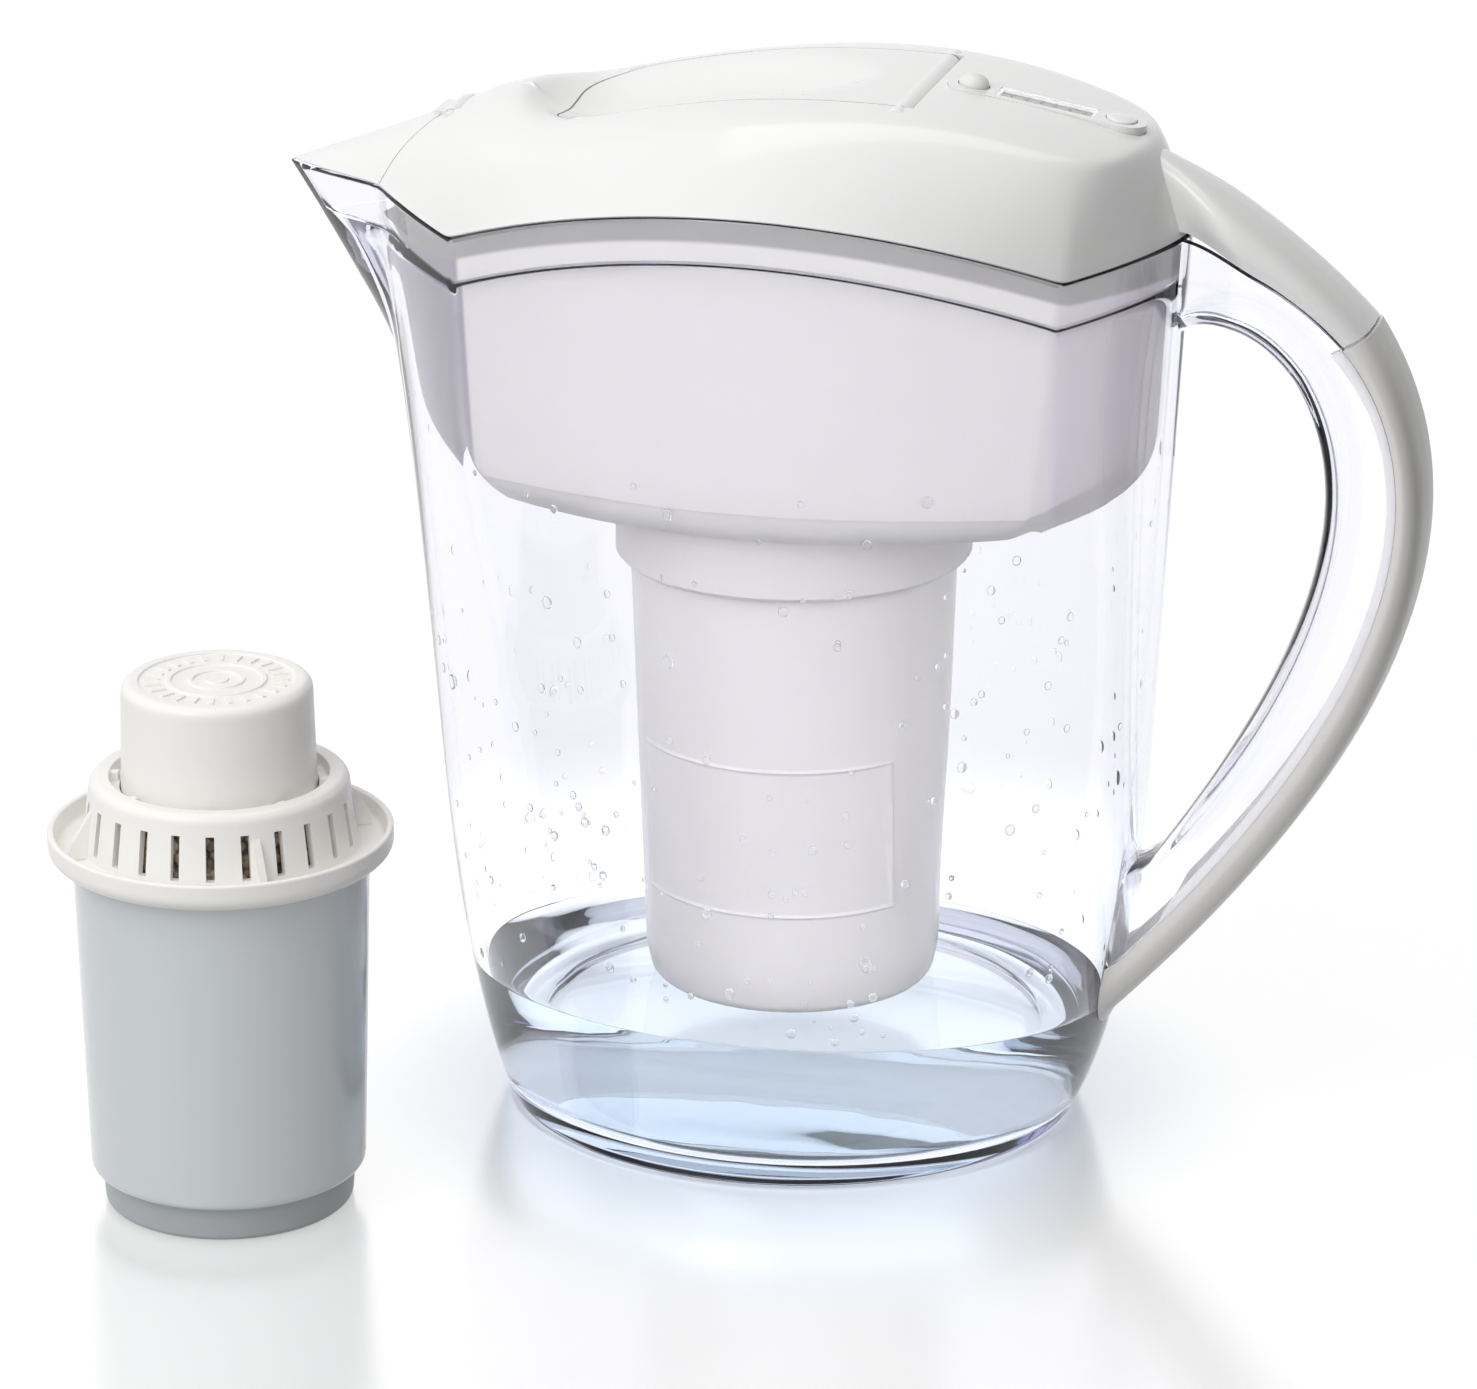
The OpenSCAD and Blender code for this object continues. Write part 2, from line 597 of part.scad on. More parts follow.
module cartridge_knob() {
    groove = 0.5;
    color(white_colour) at_cartridge() rotate_extrude() polygon([
        [0, knob_top_z], [3, knob_top_z], [3, knob_top_z - groove], [6, knob_top_z - groove],
        [6, knob_top_z], [7.2, knob_top_z], [7.2, knob_top_z - groove], [11.5, knob_top_z - groove],
        [11.5, knob_top_z], [12.7, knob_top_z], [12.7, knob_top_z - groove],
        [knob_r - 5.2, knob_top_z - groove], [knob_r - 5.2, knob_top_z], [knob_r - 2.5, knob_top_z],
        [knob_r - 1.2, knob_top_z - 0.6], [knob_r - 0.4, knob_top_z - 2.5],
        [knob_r, cone_top_z - cone_top_t + seat],
        [knob_r - 2, cone_top_z - cone_top_t + seat], [knob_r - 2.4, knob_top_z - 4],
        [0, knob_top_z - 2.4]]);
}

module carbon_bed() {
    z0 = can_floor_z + can_wall + pad_t + bed_gap;
    color([0.12, 0.12, 0.13]) at_cartridge() rotate_extrude() polygon([
        [0, z0],
        [can_r_at(z0) - can_wall - bed_gap, z0],
        [can_r_at(bed_split_z) - can_wall - bed_gap, bed_split_z],
        [0, bed_split_z]]);
}

module mineral_bed() {
    z0 = bed_split_z + pad_t + 2 * bed_gap;
    neck_r = can_r - can_wall - plug_wall - bed_gap;
    top_r = cone_high_r - cone_wall - bed_gap;
    color([0.60, 0.54, 0.47]) at_cartridge() rotate_extrude() polygon([
        [0, z0], [can_r_at(z0) - can_wall - bed_gap, z0],
        [can_r_at(flange_z - collar_plug - 1) - can_wall - bed_gap, flange_z - collar_plug - 0.5],
        [neck_r, flange_z - collar_plug], [neck_r, flange_z + 2],
        [top_r, cone_top_z - cone_top_t - bed_gap], [0, cone_top_z - cone_top_t - bed_gap]]);
}

// One felt pad on the can's floor and one between the two beds
module felt_pads() {
    color([0.92, 0.92, 0.90]) at_cartridge() {
        for (z = [can_floor_z + can_wall + seat, bed_split_z + bed_gap])
            translate([0, 0, z]) cylinder(r = can_r_at(z) - can_wall - bed_gap, h = pad_t);
    }
}

// ---- lid ----

lid_top_z = rim_h + lid_rise;
// Height above the rim's corners that a cut has to reach to pass right through the lid, from below the rim
cut_over = lid_rise + 20.5;
cut_under = 10;
// The lid's top is a dome over the same plan. A soft crease runs along each long side at crease_w(x) from
// the middle; outside it the face falls to the rim, inside it the top carries the scoop.
crease_left = -66;
crease_right = 84;
crease_mid = 27;
crease_front_w = 42.5;
crease_taper = 11;
crease_drop_left = lid_rise - 20;
crease_drop_right = lid_rise - 28.5;
crease_drop = 0.7;
crown_mid = 12;
crown_left = -90;
crown_right = 93;
crown_drop_left = lid_rise - 25.7;
crown_drop_right = lid_rise - 28.5;
// How the crown falls towards the spout and the handle: 2 is a parabola, more stays level longer
crown_power_left = 2.6;
crown_power_right = 2.3;
scoop_x = -48;
scoop_left = 22;
scoop_right = 68;
scoop_half_w = 26;
scoop_power = 0.75;
// The lid's inner crease is drawn in by its drop over this length
crease_scale = 150;
// Length of the middle line, as a share of the crease's length
spine_share = 0.8;

function crease_w(x) =
    crease_front_w - crease_taper * pow((x - crease_left) / (crease_right - crease_left), 2);
function crease_z(x) = lid_top_z - crease_drop - (x > crease_mid
    ? crease_drop_right * pow((x - crease_mid) / (crease_right - crease_mid), 2)
    : crease_drop_left * pow((x - crease_mid) / (crease_left - crease_mid), 2));
function crown_z(x) = lid_top_z - (x > crown_mid
    ? crown_drop_right * pow((x - crown_mid) / (crown_right - crown_mid), crown_power_right)
    : crown_drop_left * pow((x - crown_mid) / (crown_left - crown_mid), crown_power_left));
function scoop(x, y) = let (e = (x - scoop_x) / (x < scoop_x ? scoop_left : scoop_right),
        f = 1 - e * e - pow(y / scoop_half_w, 2))
    f > 0 ? scoop_depth * pow(f, scoop_power) : 0;
function top_z(x, y) = mix(crown_z(x), crease_z(x), pow(y / crease_w(x), 2)) - scoop(x, y);

// Crease point over angle q, and the point of the middle line that its column of points runs to
function crease_x(q) = !at_end(q) ? mix(crease_left, crease_right, (side_share(q) + 1) / 2)
    : cos(q) > 0 ? mix(crown_right, crease_right, pow(end_share(q), 2))
    : mix(crown_left + 2, crease_left, pow(end_share(q), 1.5));
function crease_y(q) = sign(sin(q)) * (!at_end(q) ? crease_w(crease_x(q))
    : crease_w(cos(q) > 0 ? crease_right : crease_left) * end_share(q));

// Steps up the face, and steps from the crease to the middle
face_steps = [0, 0.15, 0.4, 0.7];
top_steps = [0, 0.36, 0.5, 0.66, 0.84];

// Bulge of the face: 1 is straight. It is fullest at the handle and least over the spout.
bulge_side = 1.4;
bulge_back = 2.1;
bulge_spout = 1.15;
function face_bulge(q) = !at_end(q) ? bulge_side
    : mix(cos(q) > 0 ? bulge_back : bulge_spout, bulge_side, end_share(q));

// A ring of the dome at step v of its face, lowered by drop and set in by d
function face_ring(v, drop, d) = [for (q = plan_q)
    let (p = plan(q, rim_h, d), c = [crease_x(q), crease_y(q)],
        z0 = rim_h + rim_rise(q) + lid_gap, z1 = top_z(c[0], c[1]) - drop,
        m = mix(p, c * (1 - drop / crease_scale), v))
    [m[0], m[1], mix(z0, z1, 1 - pow(1 - v, face_bulge(q)))]];
function top_ring(w, drop) = [for (q = plan_q)
    let (c = [crease_x(q), crease_y(q)], m = mix(c * (1 - drop / crease_scale), [spine_share * c[0], 0], w))
    [m[0], m[1], top_z(m[0], m[1]) - drop]];
function dome_rings(drop, d) = concat([for (v = face_steps) face_ring(v, drop, d)],
    [for (w = top_steps) top_ring(w, drop)]);

// Shell of the dome, of thickness t, open below. Above, each side is closed by a strip from each point
// of the last ring to its mirror point across the middle.
module dome_shell(t) {
    n = len(plan_q);
    m = len(face_steps) + len(top_steps);
    k = m * n;
    over = (m - 1) * n;
    under = k + over;
    first = end_n / 2;
    strip = [for (a = [first:first + n / 2 - 1])
        let (b = a + 1, c = (end_n - b + n) % n, e = (end_n - a + n) % n)
        each concat(a == e ? [] : [[a, b, e]], b == c ? [] : [[e, b, c]])];
    bands = band_faces(m, n);
    polyhedron(points = concat([for (r = dome_rings(0, 0)) each r], [for (r = dome_rings(t, t)) each r]),
        faces = concat(
            bands,
            [for (f = bands) [f[0] + k, f[2] + k, f[1] + k]],
            [for (f = strip) [f[0] + over, f[2] + over, f[1] + over]],
            [for (f = strip) [f[0] + under, f[1] + under, f[2] + under]],
            [for (j = [0:n - 1]) let (i = (j + 1) % n) each [[j, i, k + i], [j, k + i, k + j]]]));
}

// Tail of the lid over the handle: curves of its underside and of its back, and the steps along them
tail_gap = 0.4;
tail_front = [[103, rim_h + 5.4], [118, rim_h + 0.5], [134, rim_h - 7.5], [146, rim_h - 20]];
tail_back = [[92, rim_h + 26.5], [108, rim_h + 19.5], [134, rim_h + 2], [152.5, rim_h - 17.5]];
tail_steps = 11;
tail_sink = 1.2;
module tail() {
    sections = [for (i = [0:tail_steps]) let (t = 0.985 * i / tail_steps)
        tail_section(bezier(tail_front, t), bezier(tail_back, t))];
    strip_bar([for (i = [0:tail_steps]) i == 0 ? on_dome(sections[0]) : sections[i]]);
}
// A section moved along X into the end wall of the dome
function on_dome(section) = [for (p = section) [dome_end_x(abs(p[1]), p[2]) - tail_sink, p[1], p[2]]];
function dome_end_x(y, z) =
    let (s = y / corner_y, z0 = rim_h + back_arch * (1 - s) + lid_gap, z1 = top_z(crown_right, 0),
        v = 1 - pow(1 - clamp01((z - z0) / (z1 - z0)), 1 / mix(bulge_back, bulge_side, s)))
    mix(mix(rim_half_l, corner_x, pow(s, end_bow)), mix(crown_right, crease_right, s * s), v);
function tail_section(front, back) =
    let (way = back - front, l = norm(way),
        half = [for (p = grip_profile) [p[0] * handle_half_w, p[1] * (l - tail_gap) + tail_gap]],
        half_in = [for (p = grip_profile)
            [max(p[0] * handle_half_w - grip_wall, 0.4), mix(tail_gap, l - grip_wall, p[1])]])
    section_loop(half, half_in, front, way / l);

// Outline of the hatch in plan, grown by g, and its half width at x
hatch_corner = 18;
function hatch_w(x) = let (u = clamp01((hatch_front + hatch_corner - x) / hatch_corner))
    hatch_half_w - hatch_corner * (1 - sqrt(1 - u * u));
module hatch_outline(g) {
    for (s = [-1, 1]) translate([hatch_front + hatch_corner, s * (hatch_half_w - hatch_corner)])
        circle(r = hatch_corner + g);
    translate([hatch_front - g, hatch_corner - hatch_half_w])
        square([hatch_hinge_x - hatch_front + g, 2 * (hatch_half_w - hatch_corner)]);
    translate([hatch_front + hatch_corner, -hatch_half_w - g])
        square([hatch_hinge_x - hatch_front - hatch_corner, 2 * (hatch_half_w + g)]);
}
module hatch_column(g) {
    translate([0, 0, rim_h]) linear_extrude(lid_top_z - rim_h + 5) hatch_outline(g);
}

// Hinge axes: the barrels lie just under the lid's surface
hatch_axis_z = crown_z(hatch_hinge_x) - barrel_r;
flap_axis_z = crown_z(flap_hinge_x) - flap_barrel_r - 0.8;
barrel_len = 2 * hatch_half_w - 1;
flap_barrel_len = 14;
ear_w = 4.5;
flap_ear_w = 3;
flap_ear_r = 1.9;
module along_y(x, z, r, len) {
    translate([x, 0, z]) rotate([90, 0, 0]) cylinder(r = r, h = len, center = true);
}

// Outline of the spout flap in plan: a shield whose rear edge runs from the hinge to the spout's root
flap_sweep = 15;
function flap_edge(y) = flap_hinge_x - 0.5 - flap_sweep * pow(abs(y) / spout_half_w, 1.5);
module flap_column(g) {
    translate([0, 0, rim_h - cut_under]) linear_extrude(cut_over) polygon(concat(
        [for (y = [-24:2:24]) [flap_edge(y) + g, y]], [[-spout_reach - 10, 24], [-spout_reach - 10, -24]]));
}

// Ear of width w under the lid's top that carries one end of a hinge pin, from y0 on
module ear(x, z, r, w, y0) {
    translate([x, y0, z]) rotate([-90, 0, 0]) cylinder(r = r, h = w);
    translate([x - r, y0, z]) cube([2 * r, w, r - 0.8]);
}

// Ledge under the hatch's edge: a band under the lid's top whose inner part reaches into the opening.
// It is stepped round the hatch's outline from one side of the hinge to the other.
ledge_t = 3.2;
ledge_w = 3;
ledge_rear = hatch_hinge_x - 6;
ledge_step = 10;
ledge_fall_in = 2.4;
ledge_side_n = 6;
ledge_fuse = 0.6;
function ledge_path(g) =
    let (r = hatch_corner + g, x = hatch_front + hatch_corner, y = hatch_half_w - hatch_corner)
    concat([for (i = [0:ledge_side_n - 1]) [mix(ledge_rear, x, i / ledge_side_n), -hatch_half_w - g]],
        [for (a = [-90:-ledge_step:-180]) [x + r * cos(a), r * sin(a) - y]],
        [for (a = [180:-ledge_step:90]) [x + r * cos(a), r * sin(a) + y]],
        [for (i = [ledge_side_n - 1:-1:0]) [mix(ledge_rear, x, i / ledge_side_n), hatch_half_w + g]]);
module hatch_ledge() {
    function row(g, drop) = [for (p = ledge_path(g)) [p[0], p[1], top_z(p[0], p[1]) - drop]];
    mid = ledge_fuse + seam;
    slab([row(-ledge_w, lid_wall + ledge_fall_in), row(mid - 0.1, lid_wall - 0.2), row(mid, lid_wall - 0.8),
        row(ledge_w, lid_wall - 0.8)],
        [for (g = [-ledge_w, mid - 0.1, mid, ledge_w]) row(g, lid_wall + ledge_t)]);
}

module lid_shell() {
    color(white_colour) difference() {
        union() {
            difference() {
                union() {
                    dome_shell(lid_wall);
                    tail();
                }
                hatch_column(seam);
                translate([ledge_rear, -hatch_half_w - seam, rim_h])
                    cube([hatch_hinge_x + barrel_r + seam - ledge_rear, 2 * (hatch_half_w + seam), cut_over]);
                flap_column(seam / 2);
            }
            hatch_ledge();
            for (y = [hatch_half_w + seam, -hatch_half_w - seam - ear_w])
                ear(hatch_hinge_x, hatch_axis_z, barrel_r, ear_w, y);
            for (y = [flap_barrel_len / 2 + seam, -flap_barrel_len / 2 - seam - flap_ear_w])
                ear(flap_hinge_x + 0.5, flap_axis_z, flap_ear_r, flap_ear_w, y);
        }
        along_y(hatch_hinge_x, hatch_axis_z, pin_r + pin_clear, 2 * (hatch_half_w + seam + ear_w) - 1.5);
        along_y(flap_hinge_x, flap_axis_z, flap_pin_r + pin_clear,
            flap_barrel_len + 2 * (seam + flap_ear_w) - 1.5);
        translate([flap_hinge_x - flap_barrel_r - 1, -flap_barrel_len / 2 - seam, flap_axis_z - 6])
            cube([2 * flap_barrel_r + 1 + seam, flap_barrel_len + 2 * seam, 20]);
        on_timer() capsule(timer_half_w + seat, -12, 20);
    }
}

// The liner's flange lies under the lid's sloping face, and its skirt reaches down inside the hopper
liner_wall = 1.8;
liner_low = 0.8;
liner_high = 2.3;
module lid_liner() {
    skirt_d = band_d + hopper_wall + 0.6;
    color([0.80, 0.80, 0.82]) loop_loft([
        hopper_ring(skirt_d, -skirt_h), hopper_ring(skirt_d, liner_low),
        ring(1, lid_wall + 0.9, liner_low, false),
        ring(1, lid_wall + 2.1, liner_high, false), hopper_ring(skirt_d + liner_wall, liner_high),
        hopper_ring(skirt_d + liner_wall, -skirt_h)]);
}

// The hatch is a plate that follows the dome and the scoop, with a barrel along its rear edge
hatch_t = 2.1;
hatch_rows = [0, 0.03, 0.08, 0.15, 0.25, 0.37, 0.5, 0.64, 0.8, 1];
hatch_cols = [-1, -0.93, -0.8, -0.6, -0.35, 0, 0.35, 0.6, 0.8, 0.93, 1];
module flip_hatch() {
    function grid(drop) = [for (u = hatch_rows) let (x = mix(hatch_front, hatch_hinge_x, u))
        [for (v = hatch_cols) let (y = -v * hatch_w(x)) [x, y, top_z(x, y) - drop]]];
    color(white_colour) difference() {
        union() {
            slab(grid(0), grid(hatch_t));
            along_y(hatch_hinge_x, hatch_axis_z, barrel_r, barrel_len);
        }
        along_y(hatch_hinge_x, hatch_axis_z, pin_r + pin_clear, barrel_len + 2);
    }
}

module hatch_pin() {
    color([0.75, 0.75, 0.76])
        along_y(hatch_hinge_x, hatch_axis_z, pin_r, 2 * (hatch_half_w + seam + ear_w) - 2);
}

// The flap is cut from the dome's front by its shield-shaped outline
flap_wall = 2;
flap_cols = [end_n + side_n + 3:2 * end_n + side_n - 3];
module spout_flap() {
    function grid(drop) = [for (v = concat(face_steps, [1]))
        let (r = face_ring(v, drop, drop)) [for (j = flap_cols) r[j]]];
    color(white_colour) difference() {
        union() {
            intersection() {
                slab(grid(0), grid(flap_wall));
                flap_column(-seam / 2);
            }
            along_y(flap_hinge_x, flap_axis_z, flap_barrel_r, flap_barrel_len);
            translate([flap_hinge_x - 5, -flap_barrel_len / 2 + 1, flap_axis_z - 1])
                cube([5, flap_barrel_len - 2, 2]);
        }
        along_y(flap_hinge_x, flap_axis_z, flap_pin_r + pin_clear, flap_barrel_len + 2);
    }
}

module flap_pin() {
    color([0.75, 0.75, 0.76]) along_y(flap_hinge_x, flap_axis_z, flap_pin_r,
        flap_barrel_len + 2 * (seam + flap_ear_w) - 2);
}

// ---- timer ----

timer_face_z = crown_z(timer_x);
deck_t = 1.6;
floor_h = 1.2;
button_clear = 0.3;
set_proud = 1.5;
reset_proud = 0.9;
flange_extra = 0.9;
window_l = 26;
window_w = 8;
board_t = 1;
dome_h = 0.5;
button_flange_t = 1;
flange_top = -deck_t - 0.3;
board_top = flange_top - button_flange_t - button_travel - 0.45 - dome_h;
housing_h = board_t + seat + floor_h - board_top;

// Places its children on the timer's sloping face: local X runs down the slope, local Z is out of the face
module on_timer() {
    translate([timer_x, 0, timer_face_z]) rotate([0, timer_slope, 0]) children();
}
// Bar with round ends between the two buttons, of half width r
module capsule(r, z0, h) {
    translate([-button_pitch / 2, -r, z0]) cube([button_pitch, 2 * r, h]);
    for (s = [-1, 1]) translate([s * button_pitch / 2, 0, z0]) cylinder(r = r, h = h);
}

module timer_housing() {
    color(white_colour) on_timer() difference() {
        capsule(timer_half_w, -housing_h, housing_h);
        capsule(timer_half_w - 1.3, -housing_h + floor_h, housing_h - floor_h - deck_t);
        for (s = [-1, 1]) translate([s * button_pitch / 2, 0, -deck_t - 1])
            cylinder(r = button_r + button_clear, h = deck_t + 2);
        translate([-window_l / 2, -window_w / 2, -0.9]) cube([window_l, window_w, 2]);
        translate([-window_l / 2 + 1, -window_w / 2 + 1, -deck_t - 1]) cube([window_l - 2, window_w - 2, 4]);
    }
}

module timer_window() {
    color([0.8, 0.85, 0.9, 0.4]) on_timer()
        translate([-window_l / 2 + seat, -window_w / 2 + seat, -0.9])
            cube([window_l - 2 * seat, window_w - 2 * seat, 0.9]);
}

// Scale under the window, with its plain row of ticks standing up from it
module timer_scale() {
    ticks = 6;
    color([0.9, 0.9, 0.88]) on_timer() {
        translate([-window_l / 2, -window_w / 2 - 0.5, -deck_t - 0.9]) cube([window_l, window_w + 1, 0.75]);
        for (i = [0:ticks - 1]) translate([mix(-9.5, 9.5, i / (ticks - 1)) - 0.3, 0.6, -deck_t - 0.2])
            cube([0.6, 1.8, 0.5]);
    }
}

module timer_board() {
    color([0.1, 0.4, 0.25]) on_timer()
        translate([-button_pitch / 2 - 1.5, -timer_half_w + 1.8, board_top - board_t])
            cube([button_pitch + 3, 2 * timer_half_w - 3.6, board_t]);
}

module timer_cell() {
    color([0.75, 0.76, 0.78]) on_timer() translate([0, 0, board_top + seat / 2]) cylinder(r = 4.6, h = 1.6);
}

// Snap domes under the two buttons
module button_domes() {
    color([0.7, 0.7, 0.72]) on_timer() for (s = [-1, 1])
        translate([s * button_pitch / 2, 0, board_top]) cylinder(r1 = 2.6, r2 = 2, h = dome_h);
}

module button(proud) {
    rotate_extrude() polygon([
        [0, flange_top - button_flange_t], [button_r + flange_extra, flange_top - button_flange_t],
        [button_r + flange_extra, flange_top],
        [button_r, flange_top], [button_r, proud - 0.6], [button_r - 0.6, proud], [0, proud]]);
}
module set_button() {
    color(grip_colour) on_timer() translate([-button_pitch / 2, 0, 0]) button(set_proud);
}
module reset_button() {
    color(white_colour) on_timer() translate([button_pitch / 2, 0, 0]) button(reset_proud);
}

jug_body();
handle_frame();
handle_grip();
hopper();
filter_sleeve();
sleeve_seal();
sleeve_lock_ring();
cartridge_can();
cartridge_strainer();
cartridge_collar();
cartridge_knob();
carbon_bed();
mineral_bed();
felt_pads();
lid_shell();
lid_liner();
flip_hatch();
hatch_pin();
spout_flap();
flap_pin();
timer_housing();
timer_window();
timer_scale();
timer_board();
timer_cell();
button_domes();
set_button();
reset_button();
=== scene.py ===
"""Looks of a water filter pitcher: a clear jug with its hopper and sleeve, a domed lid and the cartridge.

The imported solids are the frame. Each operator below works out one piece, or a group of like pieces, as
numpy surfaces in millimetres, gives it a procedural finish and lets it ride on its body.
"""

import math

import bmesh
import bpy
import numpy as np
from bpy.props import FloatProperty, FloatVectorProperty, IntProperty, PointerProperty
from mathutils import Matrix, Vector


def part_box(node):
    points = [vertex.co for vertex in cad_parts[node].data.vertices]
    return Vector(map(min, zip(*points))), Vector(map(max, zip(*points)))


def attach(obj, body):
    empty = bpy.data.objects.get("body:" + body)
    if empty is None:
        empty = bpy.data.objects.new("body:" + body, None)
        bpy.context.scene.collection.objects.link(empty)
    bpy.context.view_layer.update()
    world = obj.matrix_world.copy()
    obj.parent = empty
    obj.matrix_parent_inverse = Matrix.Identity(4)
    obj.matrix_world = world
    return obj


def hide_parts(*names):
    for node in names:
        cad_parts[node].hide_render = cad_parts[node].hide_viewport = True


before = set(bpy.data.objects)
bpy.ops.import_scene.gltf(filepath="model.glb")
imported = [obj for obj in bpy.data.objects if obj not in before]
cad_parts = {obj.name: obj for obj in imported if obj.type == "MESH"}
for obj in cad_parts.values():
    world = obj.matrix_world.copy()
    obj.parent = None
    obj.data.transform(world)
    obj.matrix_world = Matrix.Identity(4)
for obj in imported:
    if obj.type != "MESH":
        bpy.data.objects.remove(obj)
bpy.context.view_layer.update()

bl_info = {
    "name": "Water Filter Pitcher",
    "version": (1, 0, 0),
    "blender": (4, 5, 0),
    "location": "View3D > Sidebar > Pitcher",
    "description": "Builds the dressed water filter pitcher with its flip lid and cartridge",
    "category": "Add Mesh",
}

MM = 0.001


# ---- sizes and colours ----

def length(name, text, value, low=0.0):
    """Length of `value` millimetres"""
    return FloatProperty(name=name, description=text, default=value * MM, min=low, max=0.3, unit="LENGTH")


def steps(name, text, value):
    return IntProperty(name=name, description=text, default=value, min=16, max=160)


def colour(name, text, value):
    return FloatVectorProperty(name=name, description=text, default=value, size=3, min=0, max=1,
                               subtype="COLOR_GAMMA")


def middle(node, axis):
    """Middle of a node along an axis, to 0.1 mm"""
    low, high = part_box(node)
    return round((low[axis] + high[axis]) / 2, 4) / MM


class PitcherSizes(bpy.types.PropertyGroup):
    """Main sizes of the pitcher, as in the solid model"""
    base_half_l: length("Base half length", "Half length of the body at the table", 75.8)
    rim_half_l: length("Rim half length", "Half length of the body at the rim", 104)
    base_half_w: length("Base half width", "Half width of the body at the table", 70.9)
    waist_half_w: length("Waist half width", "Half width above the foot", 62)
    rim_half_w: length("Rim half width", "Half width at the rim", 65.5)
    rim_h: length("Rim height", "Height of the rim's corners", 241)
    rim_arch: length("Rim arch", "Rise of the rim over each long side", 16.5)
    back_arch: length("Back arch", "Rise of the rim at the handle", 4)
    lip_rise: length("Lip rise", "Rise of the rim at the spout", 6)
    corner_x: length("Corner, along", "Distance of a rim corner along X", 80.5)
    corner_y: length("Corner, across", "Distance of a rim corner along Y", 43.5)
    jug_wall: length("Jug wall", "Thickness of the jug's wall", 3.4)
    band_wall: length("Band wall", "Thickness of the wall above the hopper's ledge", 2)
    floor_t: length("Floor", "Thickness of the jug's floor", 3.6)
    foot_h: length("Foot height", "Height over which the foot turns into the body", 30)
    spout_reach: length("Spout reach", "Distance of the spout's tip", 137.2)
    spout_half_w: length("Spout half width", "Half width of the spout at its root", 20)
    keel_z: length("Keel height", "Height where the spout's keel leaves the body", 195)
    spout_swell: length("Spout swell", "Swell of the body below the spout", 13.6)
    handle_half_w: length("Handle half width", "Half width of the handle", 14)
    handle_wall: length("Handle wall", "Wall of the clear channel", 2.6)
    grip_wall: length("Grip wall", "Wall of the grip", 2.4)
    band_h: length("Hopper band", "Depth of the hopper's upper band", 12)
    hopper_wall: length("Hopper wall", "Wall of the hopper", 2.2)
    hopper_gap: length("Hopper gap", "Gap between the jug's wall and the hopper", 2.4)
    hopper_floor_z: length("Hopper floor", "Height of the hopper's floor", 170)
    sleeve_r: length("Sleeve radius", "Radius of the sleeve at its mouth", 43.2)
    sleeve_foot_r: length("Sleeve foot radius", "Radius of the sleeve at its foot", 38.6)
    sleeve_foot_z: length("Sleeve foot height", "Height of the sleeve's underside", 34)
    sleeve_wall: length("Sleeve wall", "Wall of the sleeve", 2)
    cartridge_x: length("Cartridge, along", "Middle of the can along X", middle("cartridge_can", 0), -0.3)
    cartridge_y: length("Cartridge, across", "Middle of the can along Y", middle("cartridge_can", 1), -0.3)
    lid_top_z: length("Lid height", "Height of the lid's top", 280.5)
    lid_wall: length("Lid wall", "Thickness of the lid's shell", 2.4)
    scoop_depth: length("Scoop depth", "Depth of the finger scoop", 12)
    water_z: length("Water level", "Height of the water in the jug", 33.5)
    end_steps: steps("End steps", "Steps of the mesh over each end", 64)
    side_steps: steps("Side steps", "Steps of the mesh over each side", 88)


class PitcherColours(bpy.types.PropertyGroup):
    """Colours of the finishes, as they look in plain white light"""
    clear_tint: colour("Clear tint", "Tint of thick clear plastic", (0.70, 0.70, 0.87))
    frosted: colour("Frosted plastic", "Colour of the hopper and the sleeve", (0.985, 0.975, 0.965))
    white: colour("White plastic", "Colour of the lid", (0.94, 0.94, 0.937))
    grip: colour("Grip", "Colour of the grip", (0.925, 0.92, 0.91))
    liner: colour("Liner", "Colour of the lid's liner", (0.78, 0.78, 0.80))
    can: colour("Can", "Colour of the cartridge's can", (0.825, 0.845, 0.855))
    collar: colour("Collar", "Colour of the cartridge's collar and knob", (0.975, 0.968, 0.955))
    mineral: colour("Mineral beads", "Colour of the upper bed", (0.55, 0.49, 0.42))
    carbon: colour("Carbon grains", "Colour of the lower bed", (0.16, 0.16, 0.17))
    water: colour("Water tint", "Tint of the water", (0.60, 0.88, 0.96))


class Millimetres:
    """The scene's sizes, read in millimetres"""

    def __getattr__(self, name):
        return round(getattr(bpy.context.scene.pitcher_sizes, name) * 1000, 4)


S = Millimetres()


# ---- arithmetic ----

def mix(a, b, t):
    return a * (1 - t) + b * t


def clamp01(t):
    return np.clip(t, 0.0, 1.0)


def smooth(t):
    """Soft step: 3t² - 2t³ of t held between 0 and 1"""
    u = clamp01(t)
    return u * u * (3 - 2 * u)


def column(values):
    """Values as rows of a grid whose columns are the angles of the plan. A whole grid stays as it is."""
    values = np.asarray(values, float)
    return values if values.ndim == 2 else values.reshape(-1, 1)


def bezier(points, t):
    """Cubic curve through the first and last point, drawn towards the other two"""
    p = np.asarray(points, float)
    t = np.asarray(t, float)[:, None]
    return (1 - t) ** 3 * p[0] + 3 * t * (1 - t) ** 2 * p[1] + 3 * t * t * (1 - t) * p[2] + t ** 3 * p[3]


